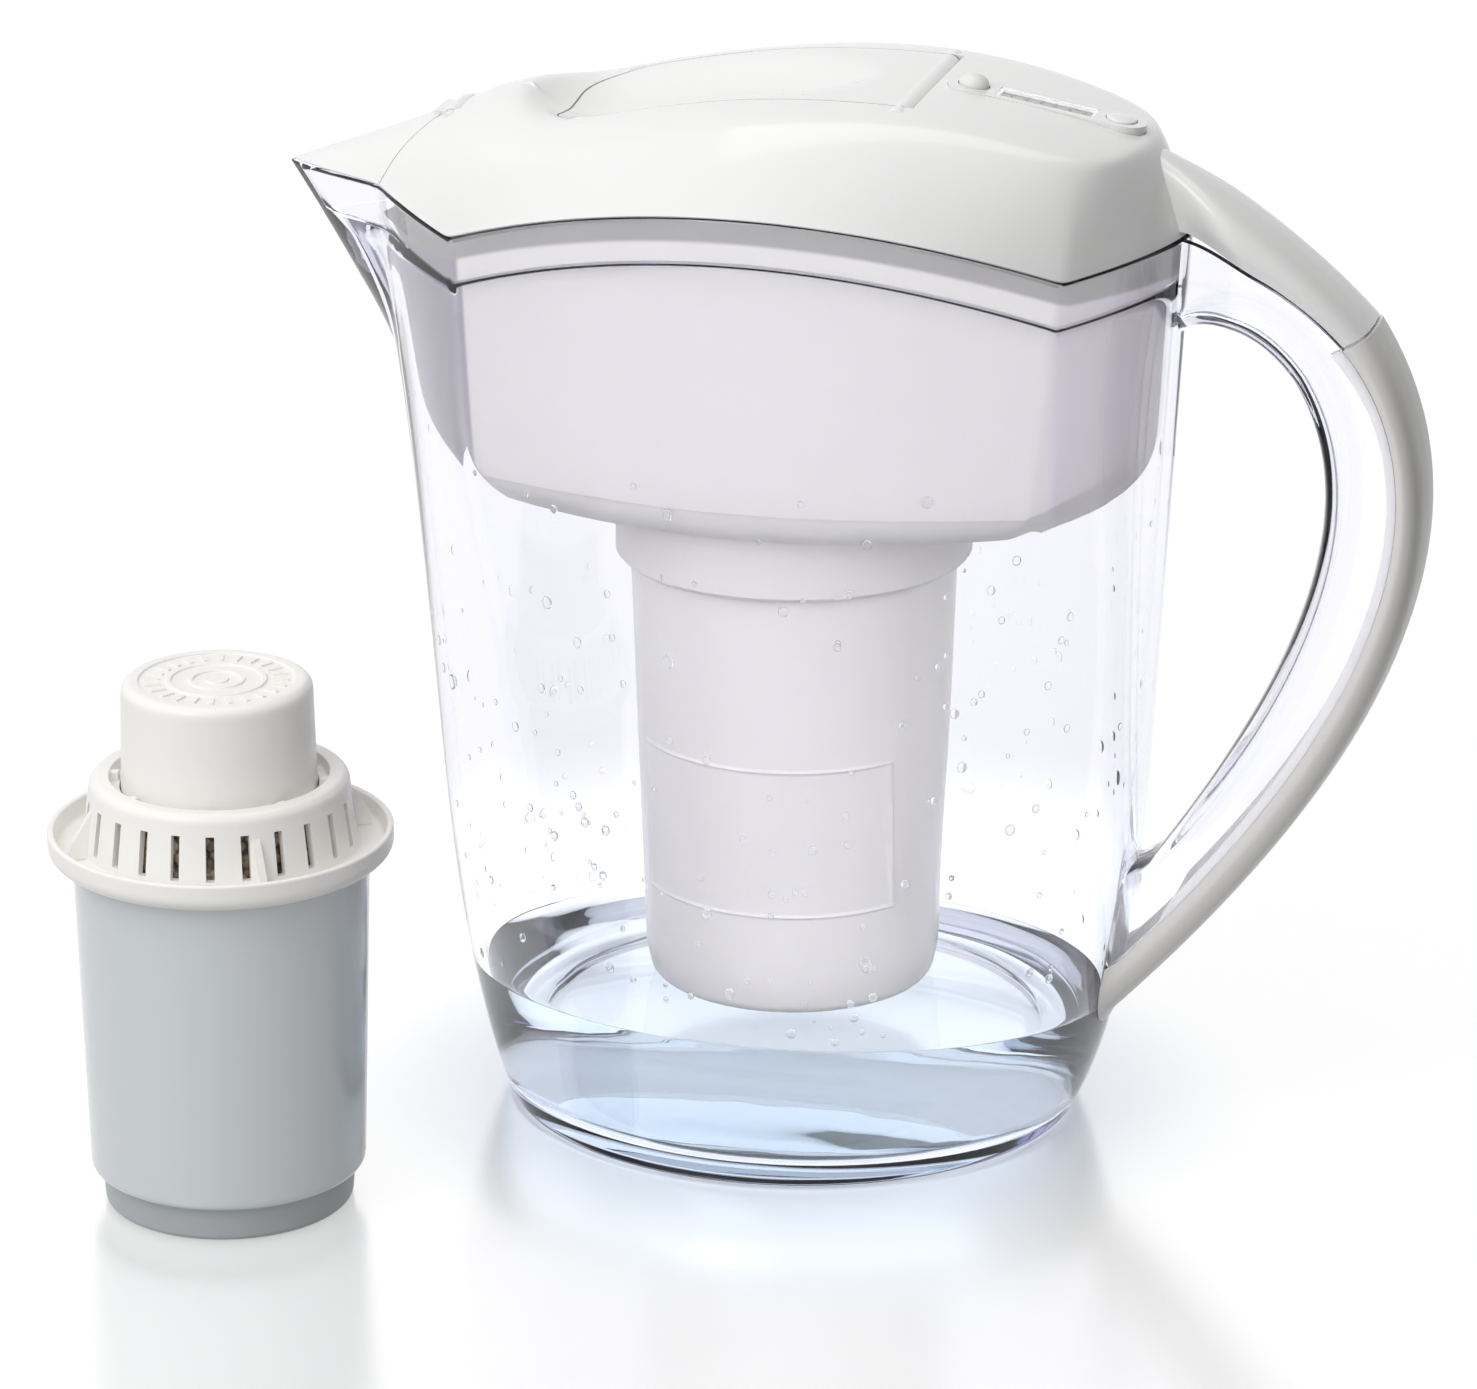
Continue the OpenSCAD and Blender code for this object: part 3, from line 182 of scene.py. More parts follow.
def refine(rows, steps):
    """Smooth curve through the rows: a Catmull-Rom cubic between each two, cut in equal steps"""
    rows = np.asarray(rows, float)
    p = np.concatenate([2 * rows[:1] - rows[1:2], rows, 2 * rows[-1:] - rows[-2:-1]])
    t = (np.arange(steps) / steps).reshape((1, steps) + (1,) * (rows.ndim - 1))
    a, b, c, d = (p[i:len(rows) - 1 + i][:, None] for i in range(4))
    curve = 0.5 * (2 * b + (c - a) * t + (2 * a - 5 * b + 4 * c - d) * t ** 2
                   + (3 * b - a - 3 * c + d) * t ** 3)
    return np.concatenate([curve.reshape((-1,) + rows.shape[1:]), rows[-1:]])


def soften(grid, sigma, axis=1, hold=0):
    """Each point becomes the bell-weighted mean of its neighbours along an axis.

    Along axis 1 the grid closes on itself. Along axis 0 its ends are carried on straight, and the first
    and last `hold` rows stay as they are.
    """
    k = int(3 * sigma) + 1
    weights = np.exp(-0.5 * (np.arange(-k, k + 1) / sigma) ** 2)
    weights /= weights.sum()
    if axis == 1:
        return sum(w * np.roll(grid, i - k, axis=1) for i, w in enumerate(weights))
    padded = np.concatenate([2 * grid[:1] - grid[k:0:-1], grid, 2 * grid[-1:] - grid[-2:-2 - k:-1]])
    mean = sum(w * padded[i:i + len(grid)] for i, w in enumerate(weights))
    if hold:
        mean[:hold], mean[-hold:] = grid[:hold], grid[-hold:]
    return mean


# ---- shells: (points, [faces]) in millimetres, faces outwards ----

def volume(shell):
    """Signed volume: the sum over the faces of the box product of their corners, over six"""
    p, total = shell[0], 0.0
    for f in shell[1]:
        for i in range(1, f.shape[1] - 1):
            total += np.einsum("ij,ij->i", p[f[:, 0]], np.cross(p[f[:, i]], p[f[:, i + 1]])).sum()
    return total / 6


def outward(shell):
    return shell if volume(shell) > 0 else (shell[0], [f[:, ::-1] for f in shell[1]])


def join(*shells):
    points, faces, start = [], [], 0
    for p, groups in shells:
        points.append(p)
        faces += [f + start for f in groups]
        start += len(p)
    return np.concatenate(points), faces


def quads(m, n, loop=False):
    """Faces over m closed rings of n points"""
    i, j = np.arange(m if loop else m - 1)[:, None], np.arange(n)
    i2, j2 = (i + 1) % m, (j + 1) % n
    return np.stack([i * n + j, i * n + j2, i2 * n + j2, i2 * n + j], -1).reshape(-1, 4)


def wrap(rings, loop=False, caps=True):
    """Surface over a stack of closed rings: point (i, j) meets (i, j+1) and (i+1, j).

    With loop the last ring meets the first. Otherwise each end is closed by a fan round its mean point,
    unless caps is off, where the end rings close on themselves.
    """
    m, n = rings.shape[:2]
    faces = [quads(m, n, loop)]
    points = rings.reshape(-1, 3)
    if caps and not loop:
        k = np.arange(n)
        points = np.concatenate([points, rings[:1].mean(1), rings[-1:].mean(1)])
        faces.append(np.stack([0 * k + m * n, (k + 1) % n, k], -1))
        faces.append(np.stack([0 * k + m * n + 1, (m - 1) * n + k, (m - 1) * n + (k + 1) % n], -1))
    return outward((points, faces))


def copies(shell, points):
    """Shell made of many copies of one, at the points (copy, point, 3)"""
    count, n = points.shape[:2]
    faces = [(f[None] + (np.arange(count) * n)[:, None, None]).reshape(-1, f.shape[1]) for f in shell[1]]
    return points.reshape(-1, 3), faces


def plate(upper, lower):
    """Closed plate between two grids of the same size, with walls round their edges"""
    m, n = upper.shape[:2]
    k = m * n
    index = np.arange(k).reshape(m, n)
    a, b, c, d = index[:-1, :-1], index[:-1, 1:], index[1:, 1:], index[1:, :-1]
    top = np.stack([a, b, c, d], -1).reshape(-1, 4)
    edge = np.concatenate([index[0], index[1:, -1], index[-1, -2::-1], index[-2::-1, 0]])
    p, q = edge[:-1], edge[1:]
    walls = np.stack([q, p, p + k, q + k], -1)
    return outward((np.concatenate([upper.reshape(-1, 3), lower.reshape(-1, 3)]),
                    [top, top[:, ::-1] + k, walls]))


def bar(sections):
    """Closed bar over sections whose first half faces their second half, ends closed by strips across"""
    m, n = sections.shape[:2]
    h = np.arange(n // 2 - 1)
    first = np.stack([h + 1, h, n - 1 - h, n - 2 - h], -1)
    last = first[:, ::-1] + (m - 1) * n
    return outward((sections.reshape(-1, 3), [quads(m, n), first, last]))


def soft_profile(corners, closed=False, steps=5):
    """Polyline over corners (x, y, radius), each rounded by a quadratic curve between two points that lie
    a radius before and after it. A further point on each side keeps the straight runs flat in shading."""
    p = np.array(corners, float)
    xy, r = p[:, :2], p[:, 2]
    t = np.linspace(0, 1, steps)[:, None]
    out = []
    for i, b in enumerate(xy):
        if r[i] == 0 or (not closed and i in (0, len(p) - 1)):
            out.append(b[None])
            continue
        a, c = xy[i - 1], xy[(i + 1) % len(p)]
        la, lc = np.linalg.norm(a - b), np.linalg.norm(c - b)
        u, v = (a - b) / la, (c - b) / lc
        ra, rc = min(r[i], 0.38 * la), min(r[i], 0.38 * lc)
        s, e = b + u * ra, b + v * rc
        arc = (1 - t) ** 2 * s + 2 * t * (1 - t) * b + t * t * e
        out += [(b + u * ra * 1.25)[None], arc, (b + v * rc * 1.25)[None]]
    return np.concatenate(out)


def circle_rings(r, z, a, centre=(0.0, 0.0)):
    """Rings of radii r at heights z, with a point at each angle"""
    r, z = column(r), column(z)
    return np.stack([centre[0] + r * np.cos(a), centre[1] + r * np.sin(a), z + 0 * a], -1)


def lathe(profile, n, centre=(0.0, 0.0), loop=False):
    """Solid of revolution: each profile point (radius, height) becomes a ring of n points"""
    a = np.linspace(0, 2 * math.pi, n, endpoint=False)
    return wrap(circle_rings(profile[:, 0], profile[:, 1], a, centre), loop)


def moved(shell, place):
    """A shell whose points go through a function"""
    return outward((place(shell[0]), shell[1]))


def turned(shell, degrees, centre=(0.0, 0.0)):
    """A shell turned about Z and then moved to a centre"""
    a = math.radians(degrees)
    c, s = math.cos(a), math.sin(a)
    return moved(shell, lambda p: np.stack([centre[0] + p[:, 0] * c - p[:, 1] * s,
                                            centre[1] + p[:, 0] * s + p[:, 1] * c, p[:, 2]], -1))


def prism(outline, z0, z1):
    """Straight column over a plan outline"""
    outline = np.asarray(outline, float)
    return wrap(np.stack([at_height(outline, z0), at_height(outline, z1)]))


def rod(x, z, r, y0, y1, edge=0.3):
    """Round bar along Y whose ends have a small chamfer"""
    shape = lathe(np.array([[r - edge, y0], [r, y0 + edge], [r, y1 - edge], [r - edge, y1]]), 48)
    return moved(shape, lambda p: np.stack([x + p[:, 0], p[:, 2], z + p[:, 1]], -1))


def block(x0, x1, y0, y1, z0, z1):
    """Plain box, used as a cutter and for small ribs"""
    return prism([[x0, y0], [x1, y0], [x1, y1], [x0, y1]], z0, z1)


# ---- pieces ----

def mesh_of(name, shell, weld=False):
    points, groups = shell
    mesh = bpy.data.meshes.new(name)
    mesh.from_pydata((np.asarray(points) * MM).tolist(), [], [f for g in groups for f in g.tolist()])
    if weld:
        work = bmesh.new()
        work.from_mesh(mesh)
        bmesh.ops.remove_doubles(work, verts=work.verts, dist=2e-6)
        work.to_mesh(mesh)
        work.free()
    mesh.validate()
    return mesh


def piece(name, shell, look, body, nodes=(), weld=False):
    """New object at the origin with a finish, which rides on a body and stands for the named CAD nodes"""
    thing = bpy.data.objects.new(name, mesh_of(name, shell, weld))
    bpy.context.scene.collection.objects.link(thing)
    thing.data.materials.append(finish(look))
    if body:
        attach(thing, body)
    if nodes:
        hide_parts(*nodes)
    return thing


def carve(thing, cutter, operation="DIFFERENCE"):
    """Exact boolean of a piece with a shell, applied to a new mesh"""
    tool = bpy.data.objects.new("cutter", mesh_of("cutter", cutter))
    bpy.context.scene.collection.objects.link(tool)
    cut = thing.modifiers.new("cut", "BOOLEAN")
    cut.operation, cut.solver, cut.object = operation, "EXACT", tool
    result = bpy.data.meshes.new_from_object(thing.evaluated_get(bpy.context.evaluated_depsgraph_get()))
    thing.modifiers.clear()
    old, thing.data = thing.data, result
    if not len(result.polygons):
        raise RuntimeError("the cut of %s left nothing" % thing.name)
    bpy.data.meshes.remove(old)
    bpy.data.objects.remove(tool)
    result.name = thing.name


def add_to(thing, shell):
    """Adds a shell to a piece, without a boolean"""
    extra = mesh_of("extra", shell)
    work = bmesh.new()
    work.from_mesh(thing.data)
    work.from_mesh(extra)
    work.to_mesh(thing.data)
    work.free()
    bpy.data.meshes.remove(extra)


def shade(thing, degrees=35):
    """Smooth shading, broken at edges sharper than the angle"""
    thing.data.shade_smooth()
    thing.data.set_sharp_from_angle(angle=math.radians(degrees))
    return thing


# ---- plan of the body ----

CORNER = math.radians(56)
END_BOW = 1.5
ARCH_START = 0.55
SWELL_SHARE = 0.52


def plan_angles():
    """Angles round the plan, 0 at the handle: one end, one side, the other end, the other side"""
    sizes = bpy.context.scene.pitcher_sizes
    end = np.linspace(-CORNER, CORNER, sizes.end_steps, endpoint=False)
    side = np.linspace(CORNER, math.pi - CORNER, sizes.side_steps, endpoint=False)
    return np.concatenate([end, side, end + math.pi, side + math.pi])


def shares():
    """Cosine of each angle, sine, whether it is at an end, its share over the end and over the side"""
    q = plan_angles()
    c, s = np.cos(q), np.sin(q)
    at_end = np.abs(c) > math.cos(CORNER) - 0.001
    return c, s, at_end, np.minimum(np.abs(s) / math.sin(CORNER), 1), c / math.cos(CORNER)


def half_l(z):
    """Half length: an even taper plus a quick swell above the foot that dies away as e^(-z / foot)"""
    return mix(S.base_half_l, S.rim_half_l,
               SWELL_SHARE * (1 - np.exp(-z / S.foot_h)) + (1 - SWELL_SHARE) * z / S.rim_h)


def half_w(z):
    return mix(S.base_half_w, S.waist_half_w, smooth(z / S.foot_h)) \
        + (S.rim_half_w - S.waist_half_w) * z / S.rim_h


def front_l(z):
    return half_l(z) + S.spout_swell * (z / S.rim_h) ** 3.3


def plan(z, d=0.0, spout=True):
    """Plan of the body at heights z, set in by d, as points (rows, angles, 2).

    Low down it is an oval. Higher up it blends into two bowed sides, y = b - (b - cy) r², and two bowed
    ends, x = a - (a - cx) s^1.5, that meet in four corners. The spout adds a wedge to the front end.
    """
    z, d = column(z), column(d)
    c, s, at_end, e, r = shares()
    a = np.where(c > 0, half_l(z), front_l(z)) - d
    b = half_w(z) - d
    cx = S.corner_x * a / S.rim_half_l * np.where(c > 0, 1, half_l(z) / front_l(z))
    cy = S.corner_y - 0.7 * d
    edge_x = np.where(at_end, np.sign(c) * (a - (a - cx) * e ** END_BOW), cx * r)
    edge_y = np.where(at_end, np.sign(s) * cy * e, np.sign(s) * (b - (b - cy) * r * r))
    sharpness = smooth((z - 60) / 150)
    x, y = mix(a * c, edge_x, sharpness), mix(b * s, edge_y, sharpness)
    if spout:
        rim_front = front_l(np.array(S.rim_h))
        nose = (S.spout_reach - rim_front) * clamp01((z - S.keel_z) / (S.rim_h - S.keel_z))
        wide = S.spout_half_w * clamp01((z - S.keel_z + S.foot_h) / (S.rim_h - S.keel_z + S.foot_h))
        wide = np.maximum(wide - 1.2 * d, 0.1)
        x = x - np.where(c < 0, np.maximum(nose - 0.6 * d, 0) * clamp01(1 - np.abs(y) / wide), 0)
    return np.stack([x, y], -1)


def rim_rise():
    """Height of the rim above its corners: 1 - r² over the sides, a straight run to the ends' middle"""
    c, s, at_end, e, r = shares()
    over_end = np.where(c > 0, S.back_arch * (1 - e),
                        S.lip_rise * clamp01((1 - e) / (1 - S.spout_half_w / S.corner_y)))
    return np.where(at_end, over_end, S.rim_arch * (1 - r * r))


def at_height(points, z):
    """Plan points (…, 2) given their heights"""
    return np.concatenate([points, np.broadcast_to(z, points.shape[:-1])[..., None]], -1)


def rings(u, d, dz=0.0, spout=True):
    """Rings at height shares u, which bend up to the arched rim in the upper part"""
    u = column(u)
    p = plan(u * S.rim_h, d, spout)
    return at_height(p, u * S.rim_h + rim_rise() * smooth((u - ARCH_START) / (1 - ARCH_START)) + column(dz))


def rim_rings(d, dz, spout=True):
    """Rings that follow the rim, moved up or down by dz"""
    dz = column(dz)
    p = plan(S.rim_h + np.minimum(dz, 0), d, spout)
    return at_height(p, S.rim_h + rim_rise() + dz)


def wall_x(y, z):
    """X of the jug's outer face on the handle side"""
    a, s = half_l(z), np.abs(y) / S.corner_y
    return mix(a * np.sqrt(np.maximum(1 - (y / half_w(z)) ** 2, 0)),
               a - (a - S.corner_x * a / S.rim_half_l) * s ** END_BOW, smooth((z - 60) / 150))


def jug_inside(inset=0.0, low=None, high=0.93, rows=44):
    """Rings of the jug's inner wall from the floor's middle up to a height share"""
    wall, floor, round_r = S.jug_wall + inset, S.floor_t, 5.0
    a = np.linspace(0, math.pi / 2, 7)[:-1]
    flat = np.array([66, 58, 46, 32, 20, 13, wall + round_r + 1.5])
    d = np.concatenate([flat, wall + round_r * (1 - np.sin(a))])
    z = np.concatenate([0 * flat + floor, floor + round_r * (1 - np.cos(a))])
    start = (floor + round_r) / S.rim_h
    u = np.linspace(start, high, rows)
    return np.concatenate([rings(z / S.rim_h, d), rings(u, wall)])


# ---- handle ----

FRAME_TOP = [[103, 244], [118, 241], [134, 233], [146, 220.5]]
FRAME_BACK = [[146, 220.5], [174, 188], [166, 128], [89, 47]]
HOLE_TOP = [[101, 220], [113, 226], [124, 222], [133, 210]]
HOLE_BACK = [[133, 210], [152, 180], [140, 135], [96, 73]]
GRIP_BACK = [[152.5, 224], [182, 178], [170, 116], [85, 29]]
TAIL_FRONT = [[103, 246.4], [118, 241.5], [134, 233.5], [146, 221]]
TAIL_BACK = [[92, 267.5], [108, 260.5], [134, 243], [152.5, 223.5]]
CHANNEL = [[1, 1], [1, 0.6], [0.97, 0.3], [0.84, 0.08], [0.5, -0.02], [0.17, -0.04], [0, -0.04]]
GRIP_SHAPE = [[1, 0, 0.12], [1.03, 0.35, 0.35], [0.88, 0.74, 0.74], [0.57, 0.94, 0.94], [0, 1.01, 1.0]]
SEAT, ROOT = 0.15, 0.5
LIP_DEPTH, LIP_END, LIP_ROOT = 4.0, 0.93, 0.8


def sections(start, end, half, half_in):
    """Loops across the handle's plane: half profiles (y, distance from start towards end) are mirrored
    across y = 0, the outer one first and the inner one after it in the other direction."""
    way = end - start
    u = way / np.linalg.norm(way, axis=1, keepdims=True)
    full = np.concatenate([half, (half * [-1, 1])[:, -2::-1]], axis=1)
    full_in = np.concatenate([half_in, (half_in * [-1, 1])[:, -2::-1]], axis=1)
    loop = np.concatenate([full, full_in[:, ::-1]], axis=1)
    p = start[:, None] + u[:, None] * loop[..., 1:]
    return np.stack([p[..., 0], loop[..., 0], p[..., 1]], -1)


def onto_jug(section):
    """A section moved along X onto the jug's wall"""
    return np.stack([wall_x(section[:, 1], section[:, 2]) + SEAT, section[:, 1], section[:, 2]], -1)


def channel_sections():
    """U-shaped channel of the clear handle frame, from the top of the handle to its foot"""
    t0, t1 = np.linspace(0, 1, 26)[:-1], np.linspace(0, 1, 72)
    back = np.concatenate([bezier(FRAME_TOP, t0), bezier(FRAME_BACK, t1)])
    hole = np.concatenate([bezier(HOLE_TOP, t0), bezier(HOLE_BACK, t1)])
    shape = refine(CHANNEL, 4)
    depth = np.linalg.norm(back - hole, axis=1)[:, None]
    taper = np.concatenate([mix(ROOT, 1, smooth(2.2 * t0)), 1 + 0 * t1])[:, None]
    y = shape[:, 0] * S.handle_half_w * taper
    half = np.stack([y, shape[:, 1] * depth], -1)
    lip = clamp01((shape[:, 1] - 0.6) / 0.4)
    inner = mix(np.maximum(shape[:, 1] * depth, 0) + S.handle_wall, depth, lip)
    half_in = np.stack([np.maximum(y - S.handle_wall * shape[:, 0], 0), inner], -1)
    grid = sections(hole, back, half, half_in)
    grid[0], grid[-1] = onto_jug(grid[0]), onto_jug(grid[-1])
    return grid


def grip_sections():
    """Rounded back of the handle, with lips that reach into the channel"""
    t = np.linspace(0, 1, 72)
    front, back = bezier(FRAME_BACK, t), bezier(GRIP_BACK, t)
    depth = np.linalg.norm(back - front, axis=1)[:, None]
    shape = refine(GRIP_SHAPE, 5)
    lip_y = S.handle_half_w - S.handle_wall - SEAT
    lip = np.where(t > LIP_END, 2 * SEAT, LIP_DEPTH)[:, None]
    y = shape[:, 0] * S.handle_half_w
    inner_y = clamp01((y - S.grip_wall) / (lip_y - S.grip_wall)) * (lip_y - S.grip_wall)

    def lip_side(across, high):
        """Two points of the lip's side: its edge and a point near its root"""
        return np.stack([0 * lip + across + [[0, 0]], np.concatenate([-lip, 0 * lip + high], 1)], -1)
    arch = np.stack([y + 0 * depth, shape[:, 1] * depth + SEAT], -1)
    arch_in = np.stack([inner_y + 0 * depth, shape[:, 2] * (depth - S.grip_wall)], -1)
    half = np.concatenate([lip_side(lip_y, SEAT), arch], 1)
    half_in = np.concatenate([lip_side(lip_y - S.grip_wall, LIP_ROOT), arch_in], 1)
    grid = sections(front, back, half, half_in)
    grid[-1] = onto_jug(grid[-1])
    return grid


# ---- lid ----

CREASE_LEFT, CREASE_RIGHT, CREASE_MID = -66.0, 84.0, 27.0
CROWN_LEFT, CROWN_RIGHT, CROWN_MID = -90.0, 93.0, 12.0
HATCH_FRONT, HINGE_X, HATCH_HALF_W, HATCH_CORNER = -60.0, 34.0, 27.0, 18.0
SEAM, BARREL_R, PIN_R = 0.5, 3.2, 1.5
FLAP_X, FLAP_BARREL_R, FLAP_PIN_R = -90.5, 2.4, 1.1
LID_GAP = 0.3
BULGE, BULGE_FRONT, BULGE_BACK, FULL = 1.4, 1.15, 1.9, 1.15
TAIL_SINK = 1.6
TIMER_X, TIMER_SLOPE = 66.0, math.radians(9.5)


def crease_w(x):
    return 42.5 - 11 * ((x - CREASE_LEFT) / (CREASE_RIGHT - CREASE_LEFT)) ** 2


def crease_z(x):
    return S.lid_top_z - 0.7 - np.where(x > CREASE_MID,
                                        11 * ((x - CREASE_MID) / (CREASE_RIGHT - CREASE_MID)) ** 2,
                                        19.5 * ((x - CREASE_MID) / (CREASE_LEFT - CREASE_MID)) ** 2)


def crown_z(x):
    x = np.asarray(x, float)
    e = np.where(x > CROWN_MID, (x - CROWN_MID) / (CROWN_RIGHT - CROWN_MID),
                 (x - CROWN_MID) / (CROWN_LEFT - CROWN_MID))
    return S.lid_top_z - np.where(x > CROWN_MID, 11 * np.abs(e) ** 2.3, 13.8 * np.abs(e) ** 2.6)


def scoop(x, y):
    """Finger scoop: depth times f^0.75, where f falls from 1 in the middle to 0 on an oval outline.
    A small constant under the root rounds its edge."""
    e = (x + 48) / np.where(x < -48, 22, 68)
    f = 1 - e * e - (y / 26) ** 2
    return S.scoop_depth * (0.5 * (f + np.sqrt(f * f + 0.0012))) ** 0.75


def top_z(x, y):
    return mix(crown_z(x), crease_z(x), (y / crease_w(x)) ** 2) - scoop(x, y)


def crease():
    """Crease of the lid over each angle: along the sides at crease_w, round the ends in two bows"""
    c, s, at_end, e, r = shares()
    x = np.where(at_end, np.where(c > 0, mix(CROWN_RIGHT, CREASE_RIGHT, e ** 2),
                                  mix(CROWN_LEFT + 2, CREASE_LEFT, e ** 1.5)),
                 mix(CREASE_LEFT, CREASE_RIGHT, (r + 1) / 2))
    w = np.where(at_end, crease_w(np.where(c > 0, CREASE_RIGHT, CREASE_LEFT)) * e, crease_w(x))
    return np.stack([x, np.sign(s) * w], -1)


def dome(drop, d, face_rows=26, top_rows=30):
    """Rings of the lid: up the face from the rim to the crease, then in to the middle line.

    On the face the height follows 1 - (1 - v)^bulge, while the plan runs straight from rim to crease, or as
    v^1.15 round the full end at the handle. On the top the height is a blend of crown and crease with the
    square of the way out, less the scoop.
    """
    c, s, at_end, e, r = shares()
    v = column(np.linspace(0, 1, face_rows, endpoint=False))
    line = crease() * (1 - drop / 150)
    full_end = smooth((r - 0.55) / 0.45)
    bulge = np.where(at_end, np.where(c < 0, mix(BULGE_FRONT, BULGE, e), BULGE_BACK),
                     mix(BULGE, BULGE_BACK, full_end))
    reach = v ** np.where(at_end, np.where(c < 0, 1, FULL), mix(1, FULL, full_end))
    z0 = S.rim_h + rim_rise() + LID_GAP
    z1 = top_z(crease()[:, 0], crease()[:, 1]) - drop
    p = plan([S.rim_h], d)[0]
    face = at_height(mix(p[None], line[None], reach[..., None]), mix(z0, z1, 1 - (1 - v) ** bulge))
    w = column(np.linspace(0, 1, top_rows))
    end = line * [0.8, 0]
    over = mix(line[None], end[None], w[..., None])
    top = at_height(over, top_z(over[..., 0], over[..., 1]) - drop)
    grid = soften(np.concatenate([face, top]), 3.4, axis=0, hold=3)
    share = column(np.concatenate([smooth(1.3 * v), 1 - smooth(2.5 * w)]))[..., None]
    grid = mix(soften(grid, 1.0), soften(grid, 7.0), share)
    grid[-1, :, 1] = 0
    return grid


def dome_shell(thick):
    """Closed shell of the lid's dome: outside down to the rim, a rounded edge, and back up inside"""
    outer, inner = dome(0.0, 0.0), dome(thick, thick)
    lift = np.array([0, 0, 0.35])
    edge = np.stack([mix(outer[0], inner[0], t) for t in (0.12, 0.4, 0.6, 0.88)])
    outer[0] += lift
    inner[0] += lift
    return wrap(np.concatenate([outer[::-1], edge, inner]), caps=False)


def tail():
    """Tail of the lid over the handle, from inside the dome's end wall to the grip's seam"""
    t = 0.985 * np.linspace(0, 1, 34)
    front, back = bezier(TAIL_FRONT, t), bezier(TAIL_BACK, t)
    depth = np.linalg.norm(back - front, axis=1)[:, None]
    shape = refine(GRIP_SHAPE, 5)
    gap, y = 0.4, shape[:, 0] * S.handle_half_w * mix(ROOT, 1, smooth(2.4 * t))[:, None]
    half = np.stack([y, shape[:, 1] * (depth - gap) + gap], -1)
    inner = mix(gap, depth - S.grip_wall, shape[:, 1])
    half_in = np.stack([y * (1 - S.grip_wall / S.handle_half_w), inner], -1)
    grid = sections(front, back, half, half_in)
    y, z = np.abs(grid[0, :, 1]), grid[0, :, 2]
    s = y / S.corner_y
    z0 = S.rim_h + S.back_arch * (1 - s) + LID_GAP
    v = 1 - (1 - clamp01((z - z0) / (top_z(CROWN_RIGHT, 0.0) - z0))) ** (1 / mix(BULGE_BACK, BULGE, s))
    rim_x, crease_x = mix(S.rim_half_l, S.corner_x, s ** END_BOW), mix(CROWN_RIGHT, CREASE_RIGHT, s * s)
    grid[0, :, 0] = mix(rim_x, crease_x, v) - TAIL_SINK
    return bar(grid)


def mirrored(half):
    """A half outline and its mirror image across y = 0"""
    return np.concatenate([half, (half * [1, -1])[::-1]])


def hatch_outline(g, rear):
    """Outline of the hatch in plan, grown by g: straight sides and two round front corners"""
    r, x, y = HATCH_CORNER + g, HATCH_FRONT + HATCH_CORNER, HATCH_HALF_W - HATCH_CORNER
    a = np.linspace(math.pi / 2, math.pi, 24)
    upper = np.stack([x + r * np.cos(a), y + r * np.sin(a)], -1)
    side = np.array([[rear, HATCH_HALF_W + g]])
    return mirrored(np.concatenate([side, upper]))


def flap_outline(g):
    """Outline of the spout's flap in plan: its rear edge sweeps back as |y|^1.5"""
    y = np.linspace(-24, 24, 49)
    edge = FLAP_X - 0.5 - 15 * (np.abs(y) / S.spout_half_w) ** 1.5 + g
    return np.concatenate([np.stack([edge, y], -1),
                           [[-S.spout_reach - 10, 24], [-S.spout_reach - 10, -24]]])


def hatch_ledge():
    """Ledge under the hatch: four rows that follow the hatch's outline under the lid's top"""
    x, y = HATCH_FRONT + HATCH_CORNER, HATCH_HALF_W - HATCH_CORNER
    a = np.radians(np.linspace(-90, -180, 19))
    run = np.linspace(HINGE_X - 6, x, 24)[:-1]

    def row(g, drop):
        r = HATCH_CORNER + g
        turn = np.stack([x + r * np.cos(a), r * np.sin(a) - y], -1)
        half = np.concatenate([np.stack([run, 0 * run - HATCH_HALF_W - g], -1), turn])
        p = mirrored(half)
        return at_height(p, top_z(p[:, 0], p[:, 1]) - drop)
    t = S.lid_wall
    upper = [row(-3, t + 2.4), row(1.0, t - 0.2), row(1.1, t - 0.8), row(3, t - 0.8)]
    lower = [row(g, t + 3.2) for g in (-3, 1.0, 1.1, 3)]
    return plate(np.stack(upper), np.stack(lower))


# ---- hopper ----

BOWL_R, BOWL_END = 8.0, 1.5
LAND_R, HOLE_R = 50.0, 43.7
HOPPER_DROP, POUR_HALF_W, POUR_INSET = 0.8, 25.0, 5.5

# The bare raised frame on the sleeve: its half width, its lower and upper line, and the bead that draws it
FRAME_HALF_W, FRAME_LOW, FRAME_HIGH, FRAME_BEAD, FRAME_PROUD = 32.4, 63.2, 103.8, 0.55, 0.45
FRAME_ROWS = np.arange(-1.2, 1.4, 0.3)


def notch_rings(d, dz):
    """Rings that follow the rim and step in where the water is poured out"""
    wide = rim_rings(d, dz, False)
    narrow = rim_rings(np.asarray(d, float) + POUR_INSET, dz, False)
    c = shares()[0]
    share = np.where(c < 0, 1 - smooth((np.abs(wide[..., 1]) - POUR_HALF_W + 1) / 2), 0)
    return mix(wide, narrow, share[..., None])


